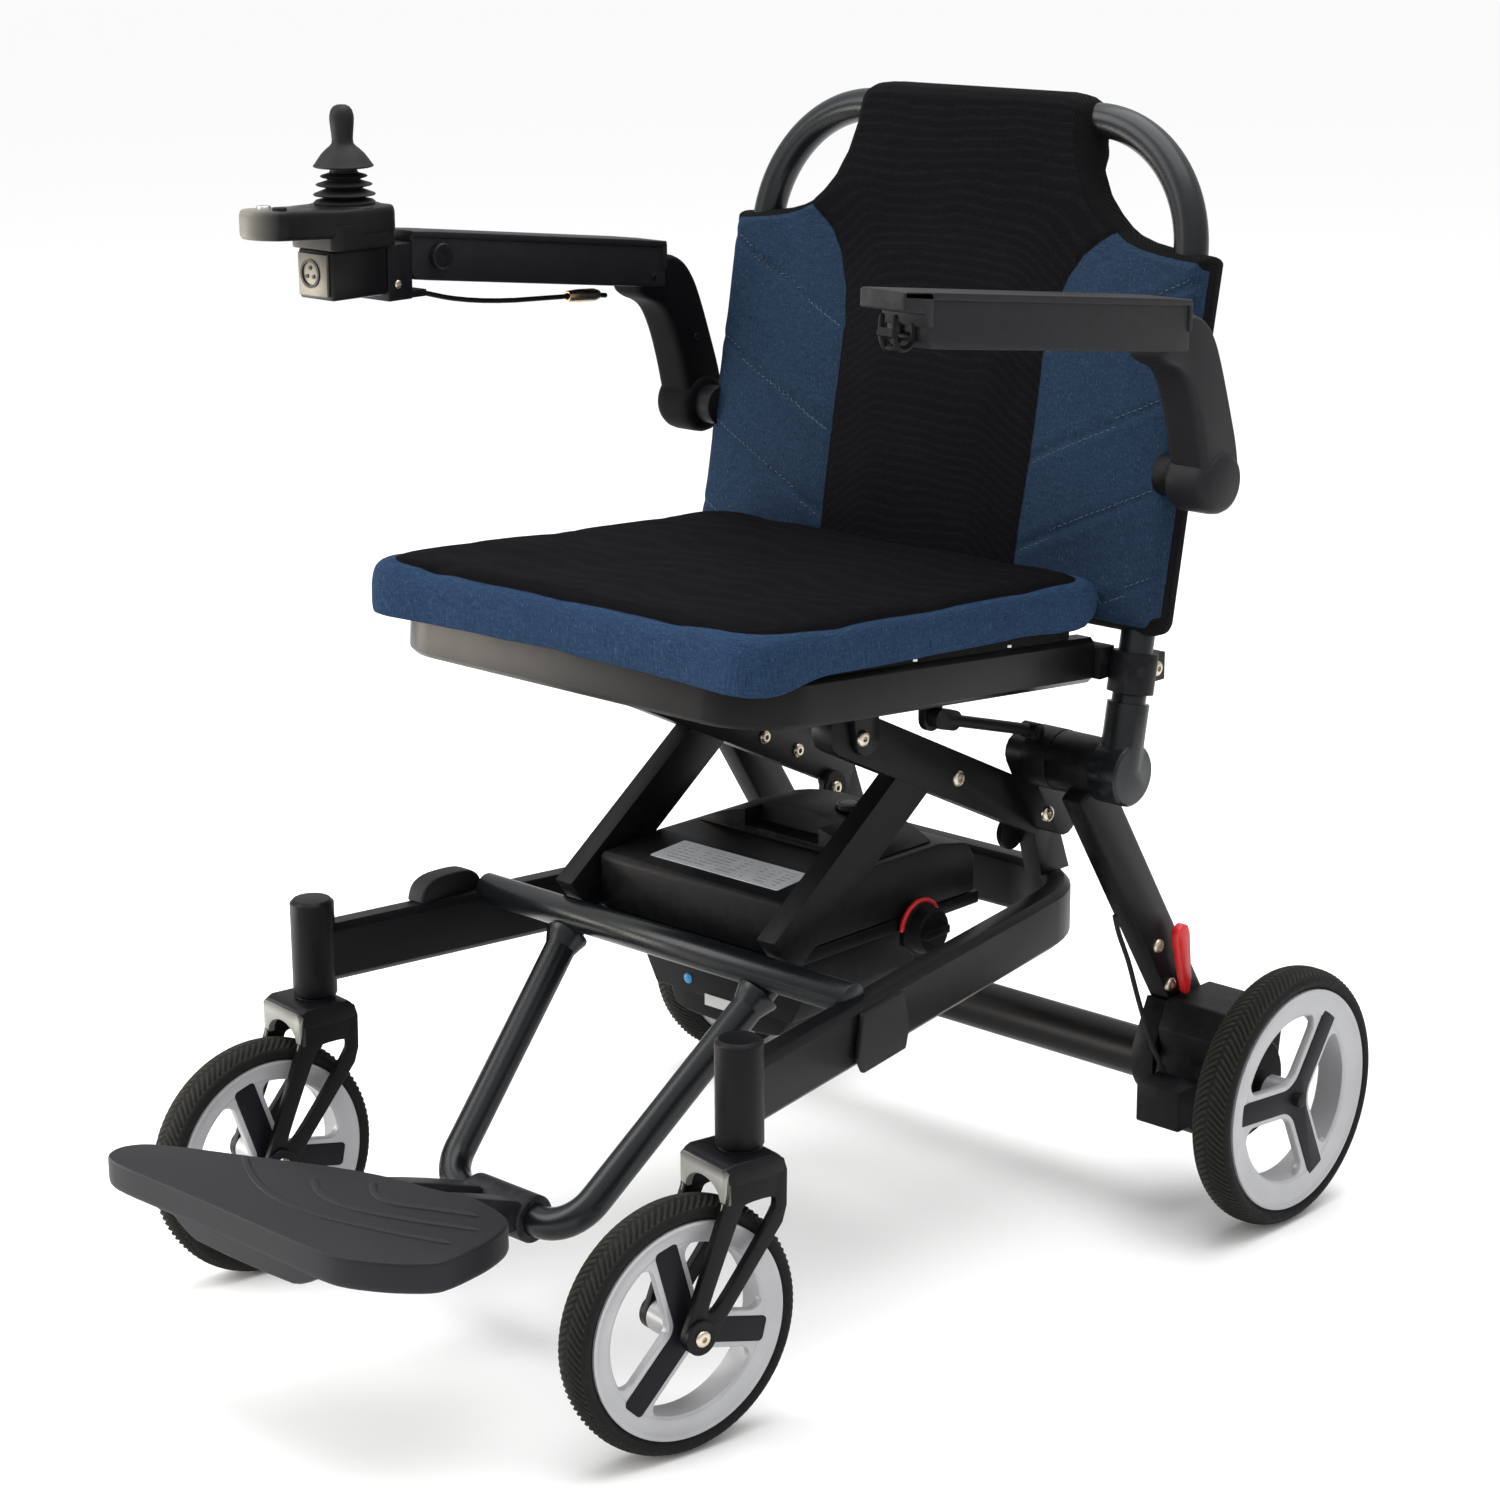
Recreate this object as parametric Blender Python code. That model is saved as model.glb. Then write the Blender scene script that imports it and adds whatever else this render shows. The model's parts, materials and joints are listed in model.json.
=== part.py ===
"""Folding power wheelchair: aluminium frame, two caster wheels in front, two driven wheels behind.

Metres. +Z is up, the chair faces -Y, and +X is the sitter's left side. Heights are above the floor.
Fore-and-aft stations are measured from the middle of the wheelbase and shifted by ORIGIN_Y, so that the
origin lies on the floor in the middle of the footprint.
"""
import math

import bmesh
import bpy
from mathutils import Matrix, Vector

# ---------------------------------------------------------------- driving dimensions
ORIGIN_Y = 0.0788
GAP = 0.0004

# wheels
HALF_WHEELBASE = 0.2843
CASTER_X = 0.2317
CASTER_R = 0.0953
CASTER_WIDTH = 0.032
CASTER_TRAIL = 0.055
CASTER_YAW_LEFT = -10.3
CASTER_YAW_RIGHT = -7.1
REAR_X = 0.302
REAR_R = 0.1076
REAR_WIDTH = 0.0345

# front frame
HEAD_R = 0.0175
HEAD_BOTTOM = 0.218
HEAD_TOP = 0.297
RAIL_Z = 0.252
RAIL_HEIGHT = 0.047
RAIL_WIDTH = 0.024
RAIL_FRONT = (0.2265, -0.2664)
RAIL_CORNER = (0.132, 0.234)
RAIL_BEND = 0.082
CROSS_R = 0.0145
CROSS_Y = -0.128
CROSS_Z = 0.275
FOOT_TUBE_R = 0.0125
FOOT_TUBE_X = 0.105
FOOT_BEND_X = 0.070
FOOT_BEND_Y = -0.298
FOOT_BEND_Z = 0.1060

# side trusses and hinge barrels
TRUSS_X0 = 0.1005
TRUSS_X1 = 0.1195
LINK_FRONT = (-0.046, 0.4485)
LINK_REAR = (0.1943, 0.332)
LINK_HALF = 0.019
HINGE_Y = 0.160
HINGE_Z = 0.392
HINGE_R = 0.025
HINGE_PIN_R = 0.006
LEG_X0 = 0.187
LEG_X1 = 0.209
BARREL_X0 = 0.142
CAP_X1 = 0.236

# back
POST_X = 0.2211
POST_R = 0.0135
POST_LEAN = 0.1925
BACK_FOLD_Y = 0.190
BACK_FOLD_Z = 0.627
BACK_TOP_Z = 0.905
BACK_CORNER_R = 0.105
PANEL_HALF = 0.247
PANEL_NECK = 0.130
PANEL_BOTTOM_Z = 0.500
PANEL_THICK = 0.010

# seat
SEAT_HALF = 0.200
SEAT_FRONT_Y = -0.232
SEAT_REAR_Y = 0.152
SEAT_SLOPE = math.radians(5.0)
SEAT_RAIL_H = 0.036
SEAT_RAIL_W = 0.022
SEAT_FRONT_Z = 0.4960
CUSHION_HALF = 0.205
CUSHION_THICK = 0.054

# arms
ARM_X = 0.2717
ARM_W = 0.040
ARM_H = 0.040
ARM_REAR = (0.154, 0.770)
ARM_FRONT_LEFT = (-0.182, 0.8105)
ARM_FRONT_RIGHT = (-0.140, 0.8055)
ARM_PIVOT_R = 0.025

# rear frame
REAR_TUBE_R = 0.021
REAR_TUBE_Y = 0.262
REAR_TUBE_Z = 0.119


# ---------------------------------------------------------------- materials
def material(name, colour, roughness, metallic=0.0):
    mat = bpy.data.materials.new(name)
    mat.use_nodes = True
    bsdf = mat.node_tree.nodes["Principled BSDF"]
    bsdf.inputs["Base Color"].default_value = (*colour, 1.0)
    bsdf.inputs["Roughness"].default_value = roughness
    bsdf.inputs["Metallic"].default_value = metallic
    mat.diffuse_color = (*colour, 1.0)
    return mat


COLOURS = {
    "black_paint": ((0.012, 0.012, 0.014), 0.42, 0.3),
    "tube_paint": ((0.016, 0.018, 0.021), 0.33, 0.4),
    "black_plastic": ((0.014, 0.014, 0.016), 0.55, 0.0),
    "grey_plastic": ((0.040, 0.040, 0.047), 0.50, 0.0),
    "arm_plastic": ((0.028, 0.027, 0.032), 0.50, 0.0),
    "silver_rim": ((0.48, 0.48, 0.49), 0.32, 0.9),
    "tyre_rubber": ((0.017, 0.017, 0.014), 0.78, 0.0),
    "rubber": ((0.010, 0.010, 0.011), 0.62, 0.0),
    "red_plastic": ((0.58, 0.008, 0.012), 0.35, 0.0),
    "navy_fabric": ((0.020, 0.045, 0.105), 0.88, 0.0),
    "black_mesh": ((0.006, 0.006, 0.007), 0.92, 0.0),
    "steel": ((0.55, 0.50, 0.43), 0.28, 1.0),
    "silver_plate": ((0.52, 0.50, 0.47), 0.30, 1.0),
}
used_materials = {}


def colour_of(node, key):
    colour, rough, metal = COLOURS[key]
    mat = material(node + "_mat", colour, rough, metal)
    used_materials[node] = mat
    return mat


# ---------------------------------------------------------------- solids
def prism(points, low, high, axis="X", round_edges=0.0):
    """A flat outline drawn out along an axis: YZ points along X, XZ points along Y, XY points along Z."""
    bm = bmesh.new()
    rings = []
    for level in (low, high):
        ring = []
        for a, b in points:
            place = {"X": (level, a, b), "Y": (a, level, b), "Z": (a, b, level)}[axis]
            ring.append(bm.verts.new(place))
        rings.append(ring)
    bm.faces.new(rings[0])
    bm.faces.new(rings[1][::-1])
    count = len(points)
    for i in range(count):
        j = (i + 1) % count
        bm.faces.new((rings[0][i], rings[1][i], rings[1][j], rings[0][j]))
    bmesh.ops.recalc_face_normals(bm, faces=bm.faces)
    if round_edges > 0:
        sharp = [e for e in bm.edges if e.calc_face_angle(0.0) > math.radians(40)]
        bmesh.ops.bevel(
            bm, geom=sharp, offset=round_edges, segments=2, profile=0.5, affect="EDGES", clamp_overlap=True
        )
    return bm


def box(low, high, round_edges=0.0):
    outline = [(low[1], low[2]), (high[1], low[2]), (high[1], high[2]), (low[1], high[2])]
    return prism(outline, low[0], high[0], "X", round_edges)


def circle(radius, count, start=0.0):
    step = 2 * math.pi / count
    return [(radius * math.cos(start + i * step), radius * math.sin(start + i * step)) for i in range(count)]


def arc(centre, radius, start, end, count):
    points = []
    for i in range(count + 1):
        angle = math.radians(start + (end - start) * i / count)
        points.append((centre[0] + radius * math.cos(angle), centre[1] + radius * math.sin(angle)))
    return points


def rounded_rectangle(width, height, radius, steps=3):
    points = []
    for sx, sy, start in ((1, 1, 0), (-1, 1, 90), (-1, -1, 180), (1, -1, 270)):
        centre = (sx * (width / 2 - radius), sy * (height / 2 - radius))
        points += arc(centre, radius, start, start + 90, steps)
    return points


def frame_for(direction, up=Vector((0, 0, 1))):
    forward = direction.normalized()
    if abs(forward.dot(up)) > 0.999:
        up = Vector((0, 1, 0))
    side = up.cross(forward).normalized()
    return side, forward.cross(side)


def sweep(path, profile, up=Vector((0, 0, 1))):
    """A closed profile carried along a path, with flat ends."""
    bm = bmesh.new()
    path = [Vector(p) for p in path]
    rings = []
    for i, here in enumerate(path):
        before = (here - path[i - 1]).normalized() if i else (path[1] - here).normalized()
        after = (path[i + 1] - here).normalized() if i < len(path) - 1 else before
        tangent = (before + after).normalized()
        side, top = frame_for(tangent, up)
        rings.append([bm.verts.new(here + side * a + top * b) for a, b in profile])
    count = len(profile)
    for one, two in zip(rings, rings[1:]):
        for i in range(count):
            j = (i + 1) % count
            bm.faces.new((one[i], one[j], two[j], two[i]))
    bm.faces.new(rings[0][::-1])
    bm.faces.new(rings[-1])
    bmesh.ops.recalc_face_normals(bm, faces=bm.faces)
    return bm


def rod(start, end, radius, count=20):
    return sweep([start, end], circle(radius, count))


def lathe(profile, centre, axis=Vector((1, 0, 0)), count=32):
    """A closed profile of (radius, distance along the axis) turned round the axis."""
    bm = bmesh.new()
    side, top = frame_for(Vector(axis))
    along = Vector(axis).normalized()
    rings = []
    for radius, distance in profile:
        base = Vector(centre) + along * distance
        if radius < 1e-7:
            rings.append([bm.verts.new(base)])
            continue
        rings.append([bm.verts.new(base + side * a + top * b) for a, b in circle(radius, count)])
    closed = all(len(r) > 1 for r in rings)
    pairs = list(zip(rings, rings[1:]))
    if closed:
        pairs.append((rings[-1], rings[0]))
    for one, two in pairs:
        for i in range(count):
            j = (i + 1) % count
            if len(one) == 1 and len(two) == 1:
                continue
            if len(one) == 1:
                bm.faces.new((one[0], two[i], two[j]))
            elif len(two) == 1:
                bm.faces.new((one[i], one[j], two[0]))
            else:
                bm.faces.new((one[i], one[j], two[j], two[i]))
    bmesh.ops.recalc_face_normals(bm, faces=bm.faces)
    return bm


def fillet_path(corners, radius, steps=8):
    """A polyline with its inner corners rounded."""
    corners = [Vector(c) for c in corners]
    radii = radius if isinstance(radius, (list, tuple)) else [radius] * (len(corners) - 2)
    path = [corners[0]]
    for i in range(1, len(corners) - 1):
        here = corners[i]
        back = (corners[i - 1] - here).normalized()
        ahead = (corners[i + 1] - here).normalized()
        half = back.angle(ahead) / 2
        run = radii[i - 1] / math.tan(half)
        centre = here + (back + ahead).normalized() * (radii[i - 1] / math.sin(half))
        one = here + back * run - centre
        two = here + ahead * run - centre
        total = one.angle(two)
        for k in range(steps + 1):
            t = k / steps
            weight_one = math.sin((1 - t) * total) / math.sin(total)
            weight_two = math.sin(t * total) / math.sin(total)
            path.append(centre + one * weight_one + two * weight_two)
    path.append(corners[-1])
    return path


def turned(bm, angle, axis, centre):
    matrix = Matrix.Translation(Vector(centre)) @ Matrix.Rotation(angle, 4, axis)
    matrix = matrix @ Matrix.Translation(-Vector(centre))
    bmesh.ops.transform(bm, matrix=matrix, verts=bm.verts)
    return bm


def mirrored(bm):
    bmesh.ops.scale(bm, vec=(-1, 1, 1), verts=bm.verts)
    bmesh.ops.reverse_faces(bm, faces=bm.faces)
    return bm


def scratch_object(bm):
    mesh = bpy.data.meshes.new("scratch")
    bmesh.ops.recalc_face_normals(bm, faces=bm.faces)
    bm.to_mesh(mesh)
    bm.free()
    item = bpy.data.objects.new("scratch", mesh)
    bpy.context.scene.collection.objects.link(item)
    return item


def combined(base, joined=(), cut=()):
    """One solid from a base shape, shapes joined to it and shapes cut from it."""
    item = scratch_object(base)
    work = [(shape, "UNION") for shape in joined] + [(shape, "DIFFERENCE") for shape in cut]
    for shape, how in work:
        tool = scratch_object(shape)
        modifier = item.modifiers.new("combine", "BOOLEAN")
        modifier.operation = how
        modifier.solver = "EXACT"
        modifier.object = tool
        graph = bpy.context.evaluated_depsgraph_get()
        result = bpy.data.meshes.new_from_object(item.evaluated_get(graph))
        item.modifiers.clear()
        item.data = result
        bpy.data.objects.remove(tool, do_unlink=True)
    bm = bmesh.new()
    bm.from_mesh(item.data)
    bpy.data.objects.remove(item, do_unlink=True)
    bmesh.ops.remove_doubles(bm, verts=bm.verts, dist=2e-6)
    return bm


def node(name, bm, colour, origin=(0.0, 0.0, 0.0), parent=None, smooth_below=38.0):
    """A named part with its origin where it is joined or where it turns."""
    start = Vector(origin)
    bmesh.ops.translate(bm, vec=-start, verts=bm.verts)
    for face in bm.faces:
        face.smooth = True
    for edge in bm.edges:
        edge.smooth = edge.calc_face_angle(0.0) < math.radians(smooth_below)
    mesh = bpy.data.meshes.new(name)
    bm.to_mesh(mesh)
    bm.free()
    item = bpy.data.objects.new(name, mesh)
    mesh.materials.append(colour_of(name, colour))
    bpy.context.scene.collection.objects.link(item)
    item.location = start + Vector((0, ORIGIN_Y, 0))
    if parent:
        item.parent = parent
        item.location = start + Vector((0, ORIGIN_Y, 0)) - parent.location
    return item


def pivot(name, place):
    item = bpy.data.objects.new(name, None)
    item.location = Vector(place) + Vector((0, ORIGIN_Y, 0))
    item.empty_display_size = 0.03
    bpy.context.scene.collection.objects.link(item)
    return item


for existing in list(bpy.data.objects):
    bpy.data.objects.remove(existing, do_unlink=True)

# ---------------------------------------------------------------- shared places
FOLD_TAN = POST_LEAN
LEAN = math.atan(FOLD_TAN)
POST_DIR = Vector((0, math.sin(LEAN), math.cos(LEAN)))
HINGE = Vector((0, HINGE_Y, HINGE_Z))
BACK_PIVOT = Vector((0, BACK_FOLD_Y, BACK_FOLD_Z))
BACK_S = (BACK_PIVOT - HINGE).dot(POST_DIR)
CASTER_Y = -HALF_WHEELBASE


def on_post(side, s, ahead=0.0):
    return Vector((side * POST_X, HINGE_Y, HINGE_Z)) + POST_DIR * s + Vector((0, -math.cos(LEAN), math.sin(LEAN))) * ahead


def lean_back(bm):
    return turned(bm, -LEAN, "X", HINGE)


def stadium(start, end, half, steps=7):
    angle = math.degrees(math.atan2(end[1] - start[1], end[0] - start[0]))
    return arc(start, half, angle + 90, angle + 270, steps) + arc(end, half, angle - 90, angle + 90, steps)


def cylinder_x(y, z, radius, x0, x1, count=28):
    return lathe([(0, 0), (radius, 0), (radius, x1 - x0), (0, x1 - x0)], (x0, y, z), Vector((1, 0, 0)), count)


def for_side(bm, side):
    return bm if side > 0 else mirrored(bm)


SIDES = (("left", 1), ("right", -1))

# ---------------------------------------------------------------- front frame
rail_path = fillet_path(
    [
        (RAIL_FRONT[0] + 0.0016, RAIL_FRONT[1] - 0.009, RAIL_Z),
        (RAIL_CORNER[0], RAIL_CORNER[1], RAIL_Z),
        (-RAIL_CORNER[0], RAIL_CORNER[1], RAIL_Z),
        (-RAIL_FRONT[0] - 0.0016, RAIL_FRONT[1] - 0.009, RAIL_Z),
    ],
    RAIL_BEND,
    9,
)
rails = sweep(rail_path, rounded_rectangle(RAIL_WIDTH, RAIL_HEIGHT, 0.005, 1))
heads = []
bores = []
for side_name, side in SIDES:
    heads.append(
        lathe(
            [
                (0, 0),
                (HEAD_R - 0.001, 0),
                (HEAD_R, 0.001),
                (HEAD_R, HEAD_TOP - HEAD_BOTTOM - 0.003),
                (HEAD_R - 0.003, HEAD_TOP - HEAD_BOTTOM),
                (0, HEAD_TOP - HEAD_BOTTOM),
            ],
            (side * CASTER_X, CASTER_Y, HEAD_BOTTOM),
            Vector((0, 0, 1)),
            28,
        )
    )
    bores.append(rod((side * CASTER_X, CASTER_Y, 0.20), (side * CASTER_X, CASTER_Y, 0.286), 0.0066, 16))
node("front_frame", combined(rails, heads, bores), "black_paint", (0, CROSS_Y, RAIL_Z))

node(
    "front_cross_tube",
    rod((-0.1850, CROSS_Y, CROSS_Z), (0.1850, CROSS_Y, CROSS_Z), CROSS_R, 24),
    "tube_paint",
    (0, CROSS_Y, CROSS_Z),
)

bend = Vector((FOOT_BEND_X, FOOT_BEND_Y, FOOT_BEND_Z))
tube_head = Vector((FOOT_TUBE_X, -0.126, 0.260))
climb = (tube_head - bend).normalized()
tube_head = tube_head + climb * ((Vector((FOOT_TUBE_X, CROSS_Y, CROSS_Z)) - tube_head).dot(climb) - 0.002)
foot_path = fillet_path(
    [
        tube_head,
        bend,
        Vector((-bend.x, bend.y, bend.z)),
        Vector((-tube_head.x, tube_head.y, tube_head.z)),
    ],
    0.036,
    7,
)
foot_tube = sweep(foot_path, circle(FOOT_TUBE_R, 18), Vector((0, -0.67, 0.74)))
saddle = rod((-0.20, CROSS_Y, CROSS_Z), (0.20, CROSS_Y, CROSS_Z), CROSS_R + GAP, 24)
node("footrest_tube", combined(foot_tube, [], [saddle]), "tube_paint", (0, FOOT_BEND_Y, FOOT_BEND_Z))

# rubber bumpers on the outside of the rails
RAIL_TURN = math.atan2(RAIL_FRONT[0] - RAIL_CORNER[0], RAIL_CORNER[1] - RAIL_FRONT[1])
for side_name, side in SIDES:
    outline = [
        (-0.036, -0.013),
        (-0.027, -0.027),
        (0.034, -0.027),
        (0.040, -0.010),
        (0.030, 0.020),
        (-0.028, 0.020),
    ]
    y_mid = -0.112
    x_mid = RAIL_FRONT[0] - (y_mid - RAIL_FRONT[1]) * math.tan(RAIL_TURN) + (RAIL_WIDTH / 2) / math.cos(RAIL_TURN)
    plate = prism([(y_mid + a, RAIL_Z + b) for a, b in outline], x_mid + 0.0004, x_mid + 0.0050, "X", 0.0012)
    turned(plate, RAIL_TURN, "Z", (x_mid, y_mid, RAIL_Z))
    node("bumper_" + side_name, for_side(plate, side), "rubber", (side * x_mid, y_mid, RAIL_Z))

# ---------------------------------------------------------------- side trusses
link_dir = (Vector(LINK_REAR) - Vector(LINK_FRONT)).normalized()
for side_name, side in SIDES:
    link = prism(stadium(LINK_FRONT, LINK_REAR, LINK_HALF), TRUSS_X0, TRUSS_X1, "X")
    strut_dir = Vector((0.173, 0.125)).normalized()
    strut_off = Vector((-strut_dir.y, strut_dir.x)) * 0.019
    foot = Vector((CROSS_Y, CROSS_Z)) + strut_dir * 0.0151
    head = Vector((CROSS_Y, CROSS_Z)) + strut_dir * 0.206
    strut = prism([foot + strut_off, foot - strut_off, head - strut_off, head + strut_off],
                  TRUSS_X0 + 0.0004, TRUSS_X1 - 0.0004, "X", 0.0)
    gusset = prism(
        [(0.178, 0.336), (0.213, 0.327), (0.232, 0.2768), (0.196, 0.2768)], TRUSS_X0 + 0.0008, TRUSS_X1 - 0.0008, "X"
    )
    lug = prism(stadium(LINK_REAR, (HINGE_Y, HINGE_Z), 0.0145), TRUSS_X1 - 0.001, BARREL_X0 + 0.001, "X")
    barrel = cylinder_x(HINGE_Y, HINGE_Z, HINGE_R, BARREL_X0, 0.1665)
    truss = combined(link, [strut, gusset, lug, barrel])
    node("side_truss_" + side_name, for_side(truss, side), "black_paint", (side * 0.110, *LINK_REAR))

# ---------------------------------------------------------------- back posts and hinge caps
for side_name, side in SIDES:
    cap = lathe(
        [
            (0, 0),
            (HINGE_R, 0),
            (HINGE_R, CAP_X1 - LEG_X1 - 0.0024),
            (HINGE_R - 0.002, CAP_X1 - LEG_X1 - 0.0004),
            (0, CAP_X1 - LEG_X1 - 0.0004),
        ],
        (LEG_X1 + 0.0004, HINGE_Y, HINGE_Z),
        Vector((1, 0, 0)),
        32,
    )
    pin = cylinder_x(HINGE_Y, HINGE_Z, HINGE_PIN_R, 0.1669, LEG_X1 + 0.002, 16)
    sleeve = rod(on_post(1, 0.004), on_post(1, 0.056), 0.0168, 24)
    clearance = cylinder_x(HINGE_Y, HINGE_Z, HINGE_R + 0.0004, 0.195, LEG_X1 + 0.0004, 32)
    post = rod(on_post(1, 0.040), on_post(1, BACK_S - 0.0006), POST_R, 20)
    whole = combined(sleeve, [cap, post], [])
    whole = combined(whole, [], [clearance])
    whole = combined(whole, [pin], [])
    node("back_post_" + side_name, for_side(whole, side), "tube_paint", (side * POST_X, HINGE_Y, HINGE_Z))

# ---------------------------------------------------------------- seat frame
seat_z = SEAT_FRONT_Z + SEAT_RAIL_H / 2
rail_x = SEAT_HALF - SEAT_RAIL_W / 2
seat_path = fillet_path(
    [
        (rail_x, SEAT_REAR_Y, seat_z),
        (rail_x, SEAT_FRONT_Y + SEAT_RAIL_W / 2, seat_z),
        (-rail_x, SEAT_FRONT_Y + SEAT_RAIL_W / 2, seat_z),
        (-rail_x, SEAT_REAR_Y, seat_z),
    ],
    0.045,
    6,
)
seat_u = sweep(seat_path, rounded_rectangle(SEAT_RAIL_W, SEAT_RAIL_H, 0.004, 1))
seat_bars = [
    box((-rail_x, -0.058, seat_z - 0.012), (rail_x, -0.012, seat_z - 0.002)),
    box((-rail_x, 0.024, seat_z - 0.012), (rail_x, 0.052, seat_z - 0.002)),
    box((-rail_x, 0.112, seat_z - 0.012), (rail_x, 0.146, seat_z - 0.002)),
]
seat_shape = combined(seat_u, seat_bars)
turned(seat_shape, -SEAT_SLOPE, "X", (0, SEAT_FRONT_Y, SEAT_FRONT_Z))
seat_lugs = []
for side_name, side in SIDES:
    front_lug = prism(
        [(-0.048, 0.4930), (-0.016, 0.4900)] + arc((-0.029, 0.4402), 0.013, 0, -180, 10), 0.1200, 0.1260, "X"
    )
    seat_lugs.append(for_side(front_lug, side))
    rod_lug = prism([(0.026, 0.4870), (0.048, 0.4850)] + arc((0.037, 0.4460), 0.011, 0, -180, 10), 0.1290, 0.1350, "X")
    seat_lugs.append(for_side(rod_lug, side))
seat_shape = combined(seat_shape, seat_lugs)
node("seat_frame", seat_shape, "black_paint", (0, 0, SEAT_FRONT_Z))

# split clamps that hold the seat rails to the back posts
for side_name, side in SIDES:
    ring_s = 0.0800
    outer = rod(on_post(1, ring_s - 0.016), on_post(1, ring_s + 0.016), 0.0185, 24)
    tongue = box((0.1790, SEAT_REAR_Y + 0.0022, 0.4655), (0.2050, 0.1720, 0.4900))
    ears = box((0.2145, 0.1860, 0.4600), (0.2277, 0.2080, 0.4820), 0.0)
    hole = rod(on_post(1, ring_s - 0.040), on_post(1, ring_s + 0.040), POST_R + 0.0004, 20)
    clamp = combined(outer, [tongue, ears], [hole])
    node("seat_clamp_" + side_name, for_side(clamp, side), "black_plastic", on_post(side, ring_s))

# ---------------------------------------------------------------- cushion
cushion = prism(
    [
        (a, b - 0.0448)
        for a, b in rounded_rectangle(2 * CUSHION_HALF, 0.3950, 0.045, 6)
    ],
    0.0,
    0.0475,
    "Z",
    0.0,
)
edges = [e for e in cushion.edges if abs(e.verts[0].co.z - e.verts[1].co.z) < 1e-6]
bmesh.ops.bevel(cushion, geom=edges, offset=0.013, segments=3, profile=0.5, affect="EDGES", clamp_overlap=True)
bmesh.ops.translate(cushion, vec=(0, 0, SEAT_FRONT_Z + SEAT_RAIL_H + 0.0008), verts=cushion.verts)
turned(cushion, -SEAT_SLOPE, "X", (0, SEAT_FRONT_Y, SEAT_FRONT_Z))
node("seat_cushion", cushion, "black_mesh", (0, -0.04, 0.53))


# ---------------------------------------------------------------- back upholstery and hoop
def panel_half(outline, name, colour, pivot_at):
    full = [(x, z) for x, z in outline] + [(-x, z) for x, z in reversed(outline)]
    slab = prism(
        [(x, HINGE_Z + s) for x, s in full],
        HINGE_Y - POST_R - 0.0006 - PANEL_THICK,
        HINGE_Y - POST_R - 0.0006,
        "Y",
        0.0,
    )
    lean_back(slab)
    node(name, slab, colour, pivot_at)


low_s = (PANEL_BOTTOM_Z - HINGE_Z) / math.cos(LEAN)
panel_half(
    [
        (PANEL_HALF - 0.006, low_s),
        (PANEL_HALF, low_s + 0.006),
        (PANEL_HALF, BACK_S - 0.0185),
        (POST_X + 0.0130, BACK_S - 0.0185),
        (POST_X + 0.0130, BACK_S - 0.0120),
    ],
    "back_panel_lower",
    "navy_fabric",
    (0, BACK_FOLD_Y, BACK_FOLD_Z),
)
shoulder_s = 0.4055
top_s = 0.5215
neck = []
for i in range(13):
    t = i / 12
    neck.append(
        (
            PANEL_NECK + (0.205 - PANEL_NECK) * (1 - math.sin(t * math.pi / 2)),
            shoulder_s + 0.004 + (top_s - 0.012 - shoulder_s - 0.004) * (1 - math.cos(t * math.pi / 2)),
        )
    )
panel_half(
    [
        (POST_X + 0.0130, BACK_S + 0.0120),
        (POST_X + 0.0130, BACK_S + 0.0185),
        (PANEL_HALF, BACK_S + 0.0185),
        (PANEL_HALF, shoulder_s - 0.002),
        (PANEL_HALF - 0.004, shoulder_s),
    ]
    + neck
    + [(PANEL_NECK - 0.014, top_s)],
    "back_panel_upper",
    "navy_fabric",
    (0, BACK_FOLD_Y, BACK_FOLD_Z),
)

hoop_top = 0.5010
hoop_path = fillet_path(
    [
        Vector((POST_X, HINGE_Y, HINGE_Z + BACK_S + 0.0006)),
        Vector((POST_X, HINGE_Y, HINGE_Z + hoop_top)),
        Vector((-POST_X, HINGE_Y, HINGE_Z + hoop_top)),
        Vector((-POST_X, HINGE_Y, HINGE_Z + BACK_S + 0.0006)),
    ],
    BACK_CORNER_R,
    8,
)
hoop = sweep(hoop_path, circle(POST_R, 18), Vector((0, 1, 0)))
lean_back(hoop)
node("back_hoop", hoop, "tube_paint", (0, BACK_FOLD_Y, BACK_FOLD_Z))

# ---------------------------------------------------------------- battery, tray and latch
case_profile = [
    (-0.0975, 0.2745),
    (-0.0975, 0.3165),
    (-0.0935, 0.3200),
    (-0.0300, 0.3245),
    (0.0900, 0.3245),
    (0.1240, 0.3180),
    (0.1340, 0.3050),
    (0.1340, 0.2745),
]
case = prism(case_profile, -0.0985, 0.0985, "X", 0.0025)
hood_outline = [(-0.0900, 0.3150), (0.0900, 0.3150), (0.0900, 0.3260)] + arc((0.0, 0.1440), 0.2035, 63.4, 116.6, 14)
hood = prism(hood_outline, 0.0100, 0.0880, "Y", 0.0)
bmesh.ops.bevel(
    hood,
    geom=[e for e in hood.edges if e.calc_face_angle(0.0) > 1.0 and abs(e.verts[0].co.y - e.verts[1].co.y) < 1e-6],
    offset=0.005,
    segments=2,
    profile=0.5,
    affect="EDGES",
    clamp_overlap=True,
)
handle_dip = box((-0.040, -0.004, 0.3300), (0.040, 0.030, 0.3600))
case_whole = combined(case, [hood], [handle_dip])
node("battery_case", case_whole, "grey_plastic", (0, 0.02, 0.2745))

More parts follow.
